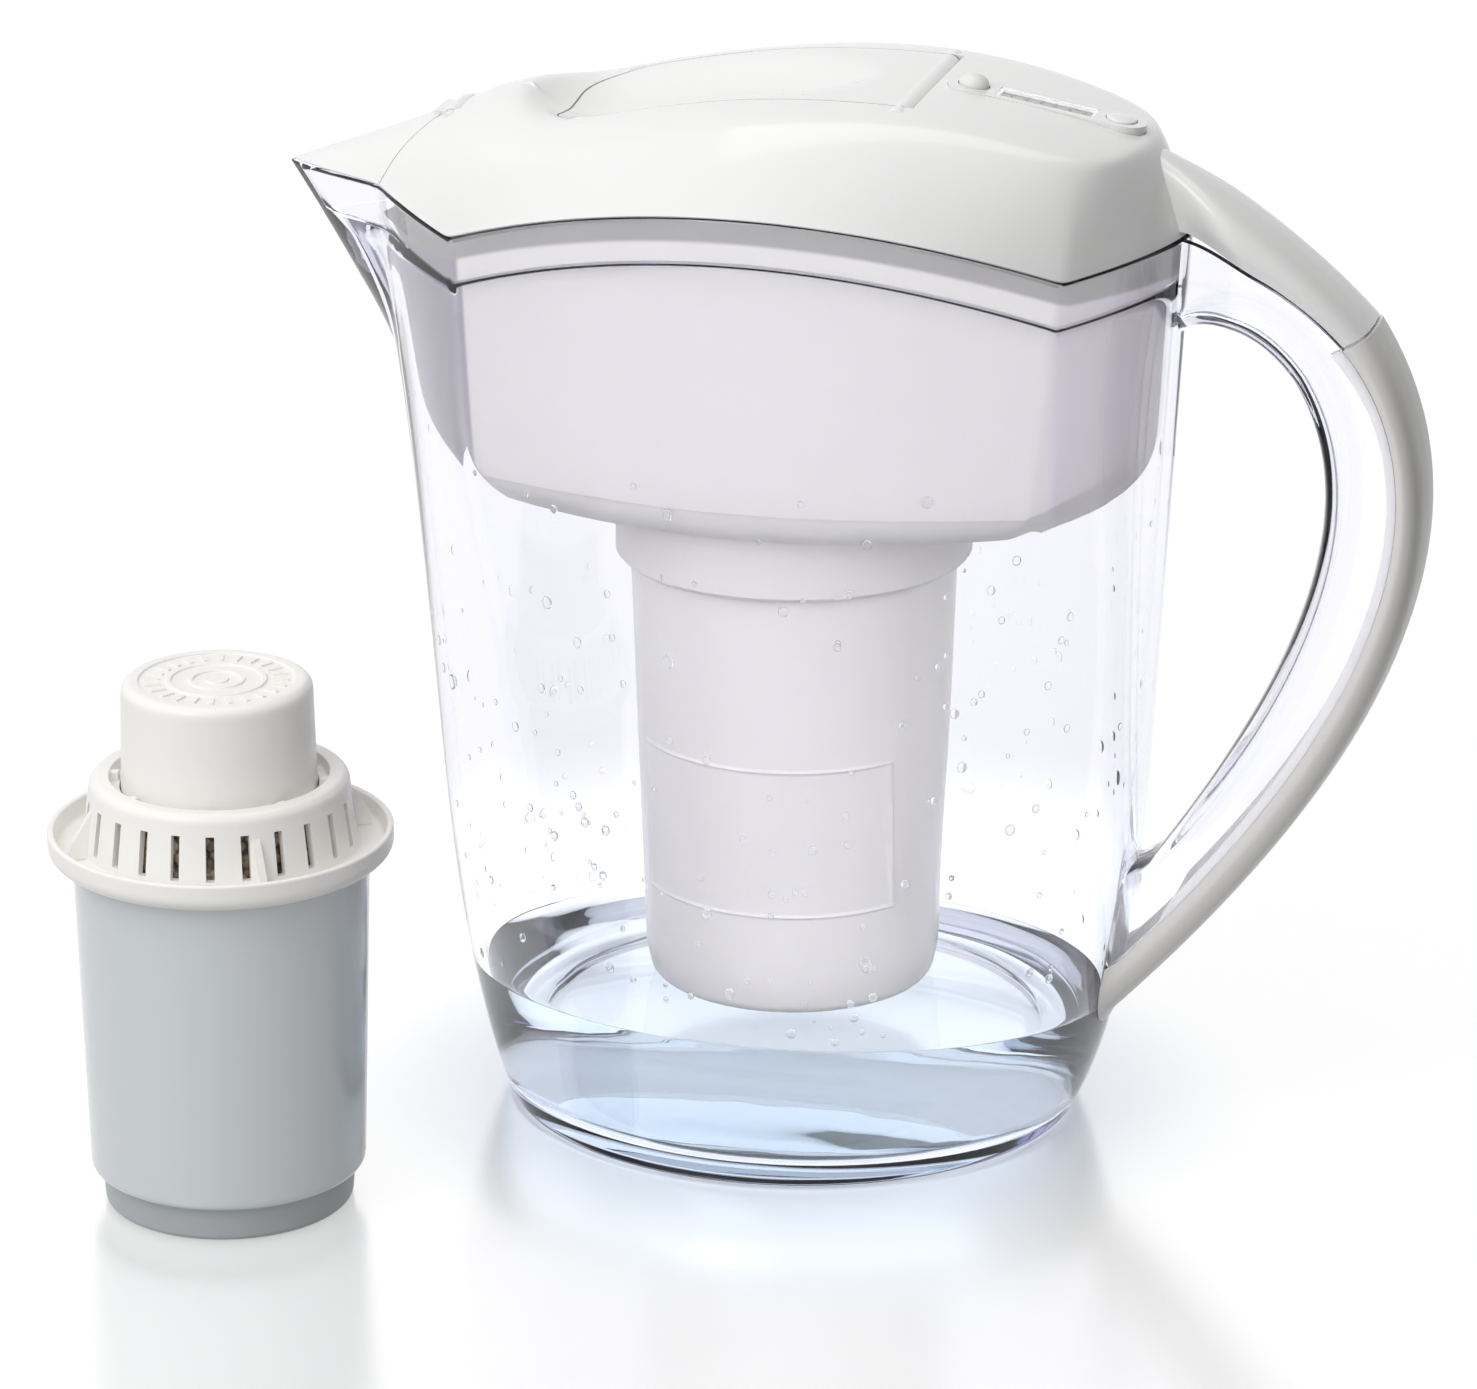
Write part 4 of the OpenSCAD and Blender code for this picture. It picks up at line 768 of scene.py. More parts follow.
def bowl_rings(d, dz):
    """Round edge between the hopper's floor and its wall, from the floor up.

    It is a quarter circle, height r (1 - cos a) and inset r (1 - sin a), whose radius grows from the
    sides to the ends by cos². Its lowest ring is drawn halfway to the circle of the sleeve's seat.
    """
    q = plan_angles()
    r = BOWL_R * (1 + BOWL_END * np.cos(q) ** 2)
    out = []
    for a in np.radians([12, 20, 30, 42, 55, 70, 90]):
        z = S.hopper_floor_z + r * (1 - np.cos(a))
        p = plan(z[None], (S.jug_wall + S.hopper_gap + r * (1 - np.sin(a)) + d)[None], False)[0]
        ring = mix(p, LAND_R * np.stack([np.cos(q), np.sin(q)], -1), 0.5 if not out else 0.0)
        lift = (1 - np.cos(a)) * rim_rise() * smooth((z / S.rim_h - ARCH_START) / (1 - ARCH_START))
        out.append(at_height(ring, z + dz + lift))
    return np.stack(out)


def hopper_shell():
    wall_d = S.jug_wall + S.hopper_gap
    band_d = S.band_wall + 0.5
    seat = -S.band_h + SEAT
    floor, t, q = S.hopper_floor_z, S.hopper_wall, plan_angles()

    def side(d, dz, bottom):
        low = np.concatenate([circle_rings([LAND_R - 3, LAND_R], [bottom, bottom], q), bowl_rings(d, dz),
                              rings([0.88], wall_d + d, 0, False),
                              rim_rings([wall_d + d], [seat - 0.1 + dz - 2.5], False)])
        return refine(low, 4)
    outer = [circle_rings([HOLE_R, HOLE_R + 1.5], [floor + 0.3, floor], q), side(0, 0, floor),
             rim_rings([wall_d - 0.1, wall_d - 0.8], [seat - 0.5, seat], False),
             notch_rings([band_d + 0.5, band_d], [seat, seat + 0.5]),
             notch_rings([band_d, band_d], [seat + 1.5, -HOPPER_DROP - 1.5]),
             notch_rings([band_d, band_d + 0.5], [-HOPPER_DROP - 0.5, -HOPPER_DROP])]
    inner = [notch_rings([band_d + t - 0.5, band_d + t], [-HOPPER_DROP, -HOPPER_DROP - 0.5]),
             notch_rings([band_d + t, band_d + t], [-HOPPER_DROP - 1.5, seat + t + 1.5]),
             notch_rings([band_d + t, band_d + t + 0.5], [seat + t + 0.5, seat + t]),
             rim_rings([wall_d + t - 0.6, wall_d + t], [seat + t, seat + t - 0.6], False),
             side(t, t, floor + t)[::-1],
             circle_rings([HOLE_R + 1.5, HOLE_R], [floor + t, floor + t - 0.3], q)]
    return wrap(soften(np.concatenate(outer + inner), 0.5), loop=True)


# ---- shader maths ----

class Val:
    """A shader socket in a tree. Arithmetic on it adds Math nodes, so a formula reads as in Python."""

    def __init__(self, tree, socket):
        self.tree, self.socket = tree, socket

    def math(self, operation, a, b=0.0, clamp=False):
        return self.tree.node("ShaderNodeMath", {"operation": operation, "use_clamp": clamp}, {0: a, 1: b})

    def binary(operation, swapped=False):
        return lambda self, other: self.math(operation, *((other, self) if swapped else (self, other)))

    __add__ = __radd__ = binary("ADD")
    __mul__ = __rmul__ = binary("MULTIPLY")
    __sub__, __rsub__ = binary("SUBTRACT"), binary("SUBTRACT", True)
    __truediv__, __pow__ = binary("DIVIDE"), binary("POWER")
    __gt__, __lt__ = binary("GREATER_THAN"), binary("LESS_THAN")

    def __neg__(self):
        return self * -1.0

    def held(self):
        return self.math("ADD", self, 0.0, clamp=True)

    def absolute(self):
        return self.math("ABSOLUTE", self)

    def sine(self):
        return self.math("SINE", self)

    def step(self, low, high):
        """0 below low, 1 above high and a soft step between"""
        return self.tree.node("ShaderNodeMapRange", {"interpolation_type": "SMOOTHSTEP"},
                              {0: self, 1: low, 2: high, 3: 0.0, 4: 1.0})


class Tree:
    """A node tree that is filled by one method"""

    def __init__(self, owner):
        owner.use_nodes = True
        self.nodes, self.links = owner.node_tree.nodes, owner.node_tree.links
        self.nodes.clear()

    def node(self, kind, settings=None, inputs=None, out=0):
        made = self.nodes.new(kind)
        for key, value in (settings or {}).items():
            if key == "stops":
                while len(made.color_ramp.elements) < len(value):
                    made.color_ramp.elements.new(0.5)
                for element, (place, shade_of) in zip(made.color_ramp.elements, value):
                    element.position, element.color = place, tuple(shade_of) + (1,)
            else:
                setattr(made, key, value)
        for key, value in (inputs or {}).items():
            if isinstance(value, Val):
                self.links.new(value.socket, made.inputs[key])
            else:
                made.inputs[key].default_value = value
        return Val(self, made.outputs[out])

    def place(self):
        """Object coordinates in metres"""
        return self.node("ShaderNodeTexCoord", out=3)

    def axes(self, centre=(0, 0, 0)):
        """X, Y and Z of the object coordinates in millimetres, from a centre"""
        moved_by = self.node("ShaderNodeMapping", None,
                             {0: self.place(), 1: [-c for c in centre], 3: (1000, 1000, 1000)})
        self.nodes[-1].vector_type = "POINT"
        split = self.nodes.new("ShaderNodeSeparateXYZ")
        self.links.new(moved_by.socket, split.inputs[0])
        return [Val(self, s) for s in split.outputs]

    def noise(self, scale, detail=3.0, rough=0.5, stretch=None):
        where = self.place()
        if stretch:
            where = self.node("ShaderNodeMapping", None, {0: where, 3: stretch})
        return self.node("ShaderNodeTexNoise", None,
                         {"Vector": where, "Scale": scale, "Detail": detail, "Roughness": rough})

    def blend(self, factor, a, b):
        """Mix of two colours"""
        return self.node("ShaderNodeMix", {"data_type": "RGBA"}, {0: factor, 6: full(a), 7: full(b)}, out=2)

    def seen(self):
        """1 for the camera and for gloss, and through clear pieces before the light has been scattered"""
        rays = self.path("Is Camera Ray") + self.path("Is Glossy Ray") + self.path("Is Transmission Ray")
        return rays.held() * (self.path("Diffuse Depth") < 0.5)

    def path(self, name):
        return Val(self, self.nodes.new("ShaderNodeLightPath").outputs[name])

    def facing(self, way):
        """How far a direction of the world lies towards a way: the dot product, held above 0"""
        dot = self.node("ShaderNodeVectorMath", {"operation": "DOT_PRODUCT"},
                        {0: self.node("ShaderNodeTexCoord", out=0), 1: way}, out=1)
        return dot.math("MAXIMUM", dot, 0.0)

    def bump(self, height, strength, distance, under=None):
        inputs = {"Height": height, "Strength": strength, "Distance": distance}
        if under:
            inputs["Normal"] = under
        return self.node("ShaderNodeBump", None, inputs)

    def surface(self, shader, inside=None):
        self.node_output = self.nodes.new("ShaderNodeOutputMaterial")
        self.links.new(shader.socket, self.node_output.inputs["Surface"])
        if inside:
            self.links.new(inside.socket, self.node_output.inputs["Volume"])


def full(value):
    return value if isinstance(value, Val) or len(value) == 4 else tuple(value) + (1.0,)


def linear(rgb):
    """Display colour to scene-linear"""
    c = np.asarray(rgb, float)
    return tuple(np.where(c <= 0.04045, c / 12.92, ((c + 0.055) / 1.055) ** 2.4).tolist())


def paint(name):
    return linear(getattr(bpy.context.scene.pitcher_colours, name))


def finish(name):
    """A material by name, made on its first use as FINISHES says"""
    found = bpy.data.materials.get(name)
    if not found:
        found = bpy.data.materials.new(name)
        fill, values = FINISHES[name]
        fill(Tree(found), **values)
    return found


def principled(tree, **inputs):
    names = {key.replace("_", " "): value for key, value in inputs.items()}
    return tree.node("ShaderNodeBsdfPrincipled", None,
                     {k: full(v) if k in ("Base Color",) else v for k, v in names.items()})


def clear_plastic(tree):
    """Clear moulded plastic: flow ripples, fine scuffs and a lavender tint that grows with depth"""
    ripple = tree.noise(22, 2.0, 0.4, (1, 1, 0.35))
    scuffs = tree.noise(900, 2.0, 0.6, (1, 1, 0.08)).step(0.66, 0.8)
    shader = principled(tree, Base_Color=tree.blend(scuffs * 0.3, (0.985, 0.985, 1.0), (0.93, 0.93, 0.96)),
                        Roughness=0.01 + scuffs * 0.05, IOR=1.5, Transmission_Weight=1.0,
                        Normal=tree.bump(ripple, 0.06, 0.004))
    inside = tree.node("ShaderNodeVolumeAbsorption", None,
                       {"Color": full(paint("clear_tint")), "Density": 20.0})
    tree.surface(shader, inside)


def frosted_plastic(tree):
    """Milky plastic that lets light through: soft cloudiness, fine spark-eroded grain. Painted shade darkens
    a band just under the rim and both ends beyond the corner ridges, the spout end most.
    """
    cloud = tree.noise(35, 3.0, 0.55)
    grain = tree.noise(2600, 2.0, 0.6)
    base = paint("frosted")
    x, y, z = tree.axes()
    # Painted shade under the lid's rim: the band within 5.6 to 7 mm below the rim is darkened to half the
    # colour
    arch = 1.0 - (x / S.corner_x) * (x / S.corner_x)
    below = S.rim_h + arch.math("MAXIMUM", arch, 0.0) * S.rim_arch - z
    band = below.step(7.0, 5.6)
    milk_and_painted_shade = tree.blend(cloud, [c * 0.97 for c in base], base)
    # Painted shade on the ends: beyond the corner ridges the handle end is a little darker, and the spout end
    # much darker and more lavender
    taper = (1 - SWELL_SHARE) * (1 - S.base_half_l / S.rim_half_l)
    corner = (z / S.rim_h - 1.0) * (taper * S.corner_x) + (S.corner_x - 2.5)
    milk_and_painted_shade = tree.blend((x - corner).step(-1, 1), milk_and_painted_shade, [c * f for c, f in zip(base, (0.9, 0.87, 0.94))])
    milk_and_painted_shade = tree.blend((-x - corner).step(-1, 1), milk_and_painted_shade, (0.44, 0.42, 0.475))
    shader = principled(tree, Base_Color=tree.blend(band, milk_and_painted_shade, [c * 0.5 for c in base]),
                        Roughness=0.34 + cloud * 0.1, IOR=1.46, Transmission_Weight=0.2,
                        Normal=tree.bump(grain, 0.08, 0.0002))
    tree.surface(shader)


def even(tree, dark, light, tone, rough, grain=None, **more):
    """Finish with one noise, `tone`, which leads from the dark colour to the light one and adds its share to
    the roughness. `grain` is the bump: a noise of its own or None for the same, a strength and a depth.
    A colour is either a tuple or the name of one of the scene's colours with the share of it that is used.
    """
    def of(tint):
        return [c * tint[1] for c in paint(tint[0])] if isinstance(tint[0], str) else tint
    cloud = tree.noise(*tone)
    if grain:
        more["Normal"] = tree.bump(tree.noise(*grain[0]) if grain[0] else cloud, *grain[1:])
    uneven = rough[0] + cloud * rough[1] if rough[1] else rough[0]
    tree.surface(principled(tree, Base_Color=tree.blend(cloud, of(dark), of(light)),
                            Roughness=uneven, **more))


def gloss_plastic(tree, tint, rough, coat, grain_strength=0.04):
    """Opaque moulded plastic: a slight unevenness of tone, orange peel, and gloss that varies a little"""
    tone = tree.noise(14, 3.0, 0.5)
    peel = tree.noise(420, 2.0, 0.5)
    smear = tree.noise(60, 4.0, 0.6)
    base = paint(tint)
    shader = principled(tree, Base_Color=tree.blend(tone, [c * 0.965 for c in base], base),
                        Roughness=rough + (smear - 0.5) * 0.08, IOR=1.5, Coat_Weight=coat,
                        Coat_Roughness=0.04, Normal=tree.bump(peel, grain_strength, 0.0004))
    tree.surface(shader)


def grains(tree, tint, size, rough):
    """Loose bed of grains: a cell pattern with a colour for each grain and painted shade in the gaps between
    """
    cell = tree.nodes.new("ShaderNodeTexVoronoi")
    tree.links.new(tree.place().socket, cell.inputs["Vector"])
    cell.inputs["Scale"].default_value = 1 / size
    distance, shade_of = Val(tree, cell.outputs[0]), Val(tree, cell.outputs[1])
    pick = tree.node("ShaderNodeSeparateColor", None, {0: shade_of})
    base = paint(tint)
    grain = tree.blend(pick, [c * 0.6 for c in base], [min(c * 1.7, 0.9) for c in base])
    # Painted shade: the gaps between the grains are darkened to a sixth of the colour
    gap = distance.step(0.38, 0.75)
    tree.surface(principled(tree, Base_Color=tree.blend(gap, grain, [c * 0.15 for c in base]),
                            Roughness=rough + pick * 0.15,
                            Normal=tree.bump(1 - distance, 0.8, size)))


def scale(tree):
    """Scale of the timer: off-white card with darker ends of the ticks, and a brown line of painted shadow
    below them, the shadow in a slit
    """
    x, y, z = tree.axes((TIMER_X * MM, 0, 0))
    card = tree.noise(300, 3.0, 0.5)
    tick = ((x * 0.2632 + 0.5).math("FRACT", x * 0.2632 + 0.5) - 0.5).absolute()
    on_tick = (tick < 0.09) * (y > 0.4) * (y < 2.6) * (x.absolute() < 10.2)
    # Painted shadow: a brown line below the ticks that stands for the shadow in a slit
    painted_slit_shadow = (y < -1.2) * (y > -2.0) * (x.absolute() < 11.0)
    base = tree.blend(card, (0.22, 0.215, 0.205), (0.26, 0.255, 0.245))
    base = tree.blend(on_tick, base, (0.01, 0.01, 0.01))
    base = tree.blend(painted_slit_shadow, base, (0.07, 0.045, 0.03))
    tree.surface(principled(tree, Base_Color=base, Roughness=0.5 + card * 0.1))


def board(tree):
    """Circuit board: green lacquer over faint tracks"""
    x, y, z = tree.axes()
    track = ((x * 2.1 + y * 0.7).sine() + (y * 2.6).sine()).step(0.9, 1.1)
    tree.surface(principled(tree, Base_Color=tree.blend(track, (0.02, 0.13, 0.06), (0.05, 0.26, 0.12)),
                            Roughness=0.3 + track * 0.1, Coat_Weight=0.3,
                            Normal=tree.bump(track, 0.3, 0.0001)))


def water(tree):
    swell = tree.noise(30, 2.0, 0.5)
    shader = principled(tree, Base_Color=(1.0, 1.0, 1.0), Roughness=0.0, IOR=1.333,
                        Transmission_Weight=1.0, Normal=tree.bump(swell, 0.05, 0.002))
    inside = tree.node("ShaderNodeVolumeAbsorption", None,
                       {"Color": full(paint("water")), "Density": 3.2})
    tree.surface(shader, inside)


def floor_finish(tree):
    """White studio floor with a soft gloss. To the camera, in gloss and through clear pieces it is lifted
    to white, and the object's shadow still darkens it. The light that the clear jug gathers under its foot
    and the blue-tinted shadow that it throws beside it are painted here, because clear pieces pass no lamp
    light."""
    seen, clear = tree.seen(), tree.path("Is Transmission Ray")
    grain = tree.noise(40, 3.0, 0.5)
    x, y, z = tree.axes()
    x, y = x / S.base_half_l, y / S.base_half_w
    away = (x * x + y * y) ** 0.5
    # Painted shade and light: near is a blue-grey painted shadow of the jug beside its foot, under is painted
    # light gathered under the jug, seen through clear pieces
    near = tree.blend(away.step(1.0, 1.7), (0.58, 0.62, 0.70), (0.84, 0.84, 0.84))
    under = tree.blend(away.step(2.4, 4.0), (1.5, 1.58, 1.65), (0.93, 0.93, 0.93))
    shader = principled(tree, Base_Color=tree.blend(grain, (0.27, 0.27, 0.27), (0.29, 0.29, 0.29)),
                        Roughness=0.5, Specular_IOR_Level=0.0,
                        Emission_Color=tree.blend(seen, (0, 0, 0), tree.blend(clear, near, under)),
                        Emission_Strength=1.0)
    gloss = tree.node("ShaderNodeBsdfAnisotropic", None, {"Color": (1, 1, 1, 1), "Roughness": 0.2})
    tree.surface(tree.node("ShaderNodeMixShader", None, {0: 0.4, 1: shader, 2: gloss}))


FINISHES = {
    "clear_plastic": (clear_plastic, {}),
    "frosted_plastic": (frosted_plastic, {}),
    # Clearer than the hopper's, with a satin face
    "sleeve_plastic": (even, dict(
        dark=("frosted", 0.95), light=("frosted", 1), tone=(28, 3.0, 0.5), rough=(0.2, 0.08),
        grain=((2200, 2.0, 0.6), 0.06, 0.0002), IOR=1.46, Transmission_Weight=0.15)),
    "white_gloss": (gloss_plastic, dict(tint="white", rough=0.2, coat=0.35)),
    "grip_plastic": (gloss_plastic, dict(tint="grip", rough=0.32, coat=0.1, grain_strength=0.08)),
    "collar_plastic": (gloss_plastic, dict(tint="collar", rough=0.33, coat=0.05, grain_strength=0.06)),
    "can_plastic": (gloss_plastic, dict(tint="can", rough=0.2, coat=0.3, grain_strength=0.05)),
    "liner_plastic": (gloss_plastic, dict(tint="liner", rough=0.4, coat=0.0, grain_strength=0.05)),
    # Foot of the cartridge: deeper than the can and less glossy
    "strainer_plastic": (even, dict(
        dark=("can", 0.62), light=("can", 0.7), tone=(40, 3.0, 0.5), rough=(0.36, 0.08),
        grain=((500,), 0.06, 0.0004), IOR=1.5)),
    "seal_rubber": (even, dict(
        dark=(0.42, 0.42, 0.45), light=(0.52, 0.52, 0.55), tone=(700, 3.0, 0.6), rough=(0.6, 0.15),
        grain=(None, 0.15, 0.0002))),
    # Fine lines along Y
    "drawn_steel": (even, dict(
        dark=(0.5, 0.5, 0.52), light=(0.68, 0.68, 0.7), tone=(3000, 2.0, 0.5, (1, 0.02, 1)),
        rough=(0.22, 0.16), grain=(None, 0.1, 0.0001), Metallic=1.0)),
    "mineral_grains": (grains, dict(tint="mineral", size=0.0022, rough=0.5)),
    "carbon_grains": (grains, dict(tint="carbon", size=0.0012, rough=0.6)),
    "timer_window": (even, dict(
        dark=(0.94, 0.95, 0.96), light=(0.99, 0.99, 1.0), tone=(500, 2.0, 0.5), rough=(0.02, 0.03),
        IOR=1.2, Transmission_Weight=1.0)),
    "timer_scale": (scale, {}),
    "circuit_board": (board, {}),
    "water": (water, {}),
    # Black card beside the handle, as photographers use to keep light off one side
    "black_card": (even, dict(
        dark=(0.02, 0.02, 0.02), light=(0.03, 0.03, 0.03), tone=(200, 3.0, 0.6), rough=(0.9, 0))),
    "studio_floor": (floor_finish, {}),
}


# ---- operators ----

class PITCHER_OT_jug(bpy.types.Operator):
    """Clear jug: foot, floor, wall, the ledge for the hopper and the arched rim with its spout"""
    bl_idname, bl_label = "pitcher.jug", "Jug"

    def execute(self, context):
        wall, band = S.jug_wall, S.band_wall
        under = rings(np.array([0.9, 0.9, 0.9, 0.7, 0.2, 0, 0, 0, 0.35, 1.0]) / S.rim_h,
                      [66, 40, 14, 10, 8.6, 7.4, 4, 1.4, 0.4, 0.05])
        outside = rings(np.concatenate([np.linspace(1.8, 28, 14) / S.rim_h, np.linspace(0.13, 0.55, 22),
                                        np.linspace(0.565, 0.994, 32)]), 0)
        rim = rim_rings([0, 0.18, 0.6, band - 0.6, band - 0.18, band, band, band, band, band, band + 0.1,
                         band + 0.5, wall - 0.3, wall],
                        [-0.6, -0.18, 0, 0, -0.18, -0.6, -2, -5, -8, -11.2, -12, -12.1, -12.4, -13])
        inside = jug_inside()
        crisp, round_inside = 0.4, 2.5
        grid = np.concatenate([soften(np.concatenate([under, outside, rim]), crisp),
                               soften(inside[::-1], round_inside)])
        thing = piece("jug", wrap(grid), "clear_plastic", "jug", ["jug_body"])
        shade(thing, 50)
        return {"FINISHED"}


class PITCHER_OT_handle(bpy.types.Operator):
    """Handle: the clear channel and the rounded grip that closes its back"""
    bl_idname, bl_label = "pitcher.handle", "Handle"

    def execute(self, context):
        shade(piece("handle_channel", bar(channel_sections()), "clear_plastic", "jug", ["handle_frame"]), 40)
        shade(piece("grip", bar(grip_sections()), "grip_plastic", "jug", ["handle_grip"]), 40)
        return {"FINISHED"}


class PITCHER_OT_hopper(bpy.types.Operator):
    """Hopper: the band that hangs on the ledge, the wall and the bowl round the sleeve"""
    bl_idname, bl_label = "pitcher.hopper", "Hopper"

    def execute(self, context):
        thing = piece("hopper_bowl", hopper_shell(), "frosted_plastic", "hopper_unit", ["hopper"])
        shade(thing, 40)
        return {"FINISHED"}


class PITCHER_OT_sleeve(bpy.types.Operator):
    """Filter sleeve with its embossed bare frame, and the finishes of its seal and lock ring"""
    bl_idname, bl_label = "pitcher.sleeve", "Sleeve"

    def execute(self, context):
        foot, r0, z0, t = S.sleeve_foot_r, S.sleeve_r, S.sleeve_foot_z, S.sleeve_wall
        top = S.hopper_floor_z + S.hopper_wall + 1.6 + 2.4 + 2 * SEAT
        flange, flange_z = 49.5, top - 2.4
        z = np.unique(np.concatenate([np.linspace(z0 + 9, S.hopper_floor_z - 1, 40),
                                      FRAME_LOW + FRAME_ROWS, FRAME_HIGH + FRAME_ROWS]))
        low = soft_profile([[0.5, z0 + 0.8, 0], [10, z0 + 0.8, 1], [11, z0, 1], [foot - 1.5, z0, 8],
                            [foot + 0.35, z0 + 9, 0]], steps=9)[:-1]
        side = np.stack([mix(foot, r0, (z - z0) / (S.hopper_floor_z - z0)), z], -1)
        head = soft_profile([[r0, S.hopper_floor_z, 0], [r0, flange_z, 0.5], [flange, flange_z, 0.5],
                             [flange, top, 0.8], [r0 - t, top, 0.8], [r0 - t, S.hopper_floor_z, 0]])
        inner = np.stack([side[::-3, 0] - t, side[::-3, 1]], -1)
        top_of_floor = z0 + 2.5
        floor = soft_profile([[foot + 0.35 - t, z0 + 9, 0], [foot - t - 0.5, top_of_floor, 6],
                              [0.5, top_of_floor, 0]], steps=7)
        profile = np.concatenate([low, side, head, inner, floor])
        edge = math.asin(FRAME_HALF_W / 40.3)
        a = np.concatenate([np.linspace(-edge + 0.03, edge - 0.03, 60), [edge],
                            np.arange(edge + 0.006, edge + 0.034, 0.006),
                            np.linspace(edge + 0.04, 2 * math.pi - edge - 0.04, 140),
                            2 * math.pi - edge - np.arange(0.028, -0.03, -0.006)]) - math.pi / 2
        a = np.unique(np.round(np.mod(a, 2 * math.pi), 5))
        r, h = column(profile[:, 0]), column(profile[:, 1])
        x = r * np.cos(a)
        front = (np.sin(a) < 0) & (np.arange(len(profile))[:, None] < len(low) + len(side))
        across = np.abs(np.abs(x) - FRAME_HALF_W)
        along = np.minimum(np.abs(h - FRAME_LOW), np.abs(h - FRAME_HIGH))
        in_x = np.abs(x) < FRAME_HALF_W + 0.5
        in_z = (h > FRAME_LOW - 0.5) & (h < FRAME_HIGH + 0.5)
        bead = np.maximum(np.where(in_z, clamp01(1.2 - across / FRAME_BEAD), 0),
                          np.where(in_x, clamp01(1.2 - along / FRAME_BEAD), 0))
        raised = FRAME_PROUD * np.where(front, np.minimum(bead, 1), 0)
        grid = np.stack([(r + raised) * np.cos(a), (r + raised) * np.sin(a), h + 0 * a], -1)
        thing = piece("sleeve_cup", wrap(grid), "sleeve_plastic", "hopper_unit", ["filter_sleeve"])
        for i in range(8):
            carve(thing, turned(block(12, 24, -1.2, 1.2, z0 - 1, z0 + 4), 45 * i))
        shade(thing, 32)
        dress("sleeve_seal", "seal_rubber")
        dress("sleeve_lock_ring", "frosted_plastic")
        return {"FINISHED"}


class PITCHER_OT_lid(bpy.types.Operator):
    """Lid: the domed shell with its tail and hatch ledge, and the liner under it"""
    bl_idname, bl_label = "pitcher.lid", "Lid"

    def execute(self, context):
        thing = piece("lid_dome", dome_shell(S.lid_wall), "white_gloss", "lid", ["lid_shell"], True)
        rear = HINGE_X + BARREL_R + SEAM
        carve(thing, prism(hatch_outline(SEAM, rear), S.rim_h, S.lid_top_z + 5))
        carve(thing, prism(flap_outline(SEAM / 2), S.rim_h - 10, S.rim_h + 50))
        axis, small = crown_z(HINGE_X) - BARREL_R, crown_z(FLAP_X) - FLAP_BARREL_R - 0.8
        carve(thing, block(FLAP_X - FLAP_BARREL_R - 1, FLAP_X + FLAP_BARREL_R + SEAM, -7 - SEAM, 7 + SEAM,
                           small - 6, small + 14))
        carve(thing, on_timer(prism(capsule(6.75), -12, 8)))
        shells = [tail(), hatch_ledge()]
        for s in (-1, 1):
            y = sorted([s * (HATCH_HALF_W + SEAM), s * (HATCH_HALF_W + SEAM + 4.5)])
            shells.append(rod(HINGE_X, axis, BARREL_R, *y))
            y = sorted([s * (7 + SEAM), s * (7 + SEAM + 3)])
            shells.append(rod(FLAP_X + 0.5, small, 1.9, *y))
        add_to(thing, join(*shells))
        shade(thing, 32)
        skirt = S.band_wall + 0.5 + S.hopper_wall + 0.6
        t, low, high = 1.8, 0.8, 2.3
        grid = np.concatenate([
            notch_rings([skirt + 0.5, skirt, skirt, skirt, skirt], [-6.5, -6, -3, -0.4, low]),
            rings([1], S.lid_wall + 0.9, low, False), rings([1], S.lid_wall + 1.5, high - 0.3, False),
            rings([1], S.lid_wall + 2.1, high, False),
            notch_rings([skirt + t, skirt + t, skirt + t, skirt + t - 0.5], [high, 0, -6, -6.5])])
        grid = soften(grid, 1.2)
        shade(piece("liner", wrap(grid, loop=True), "liner_plastic", "lid", ["lid_liner"]), 40)
        return {"FINISHED"}


class PITCHER_OT_hatch(bpy.types.Operator):
    """Flip hatch over the scoop and the flap over the spout, each with its hinge barrel and pin"""
    bl_idname, bl_label = "pitcher.hatch", "Hatch and flap"

    def execute(self, context):
        axis, small = crown_z(HINGE_X) - BARREL_R, crown_z(FLAP_X) - FLAP_BARREL_R - 0.8
        hatch = piece("hatch", dome_shell(2.1), "white_gloss", "hatch", ["flip_hatch"], True)
        carve(hatch, prism(hatch_outline(0, HINGE_X), S.rim_h, S.lid_top_z + 5), "INTERSECT")
        carve(hatch, rod(HINGE_X, axis, BARREL_R, -HATCH_HALF_W + 0.5, HATCH_HALF_W - 0.5), "UNION")
        carve(hatch, rod(HINGE_X, axis, PIN_R + 0.05, -HATCH_HALF_W - 2, HATCH_HALF_W + 2, 0.1))
        shade(hatch, 32)
        flap = piece("flap", dome_shell(2.0), "white_gloss", "flap", ["spout_flap"], True)
        carve(flap, prism(flap_outline(-SEAM / 2), S.rim_h - 10, S.rim_h + 50), "INTERSECT")
        carve(flap, rod(FLAP_X, small, FLAP_BARREL_R, -7, 7), "UNION")
        carve(flap, block(FLAP_X - 5, FLAP_X, -6, 6, small - 1, small + 1), "UNION")
        carve(flap, rod(FLAP_X, small, FLAP_PIN_R + 0.05, -9, 9, 0.1))
        shade(flap, 32)
        dress("hatch_pin", "drawn_steel")
        dress("flap_pin", "drawn_steel")
        return {"FINISHED"}


def on_timer(shell):
    """Puts a shell on the timer's sloping face: turned about Y by the slope, then moved to its middle"""
    c, s = math.cos(TIMER_SLOPE), math.sin(TIMER_SLOPE)
    return moved(shell, lambda p: np.stack([TIMER_X + p[:, 0] * c + p[:, 2] * s, p[:, 1],
                                            crown_z(TIMER_X) - p[:, 0] * s + p[:, 2] * c], -1))


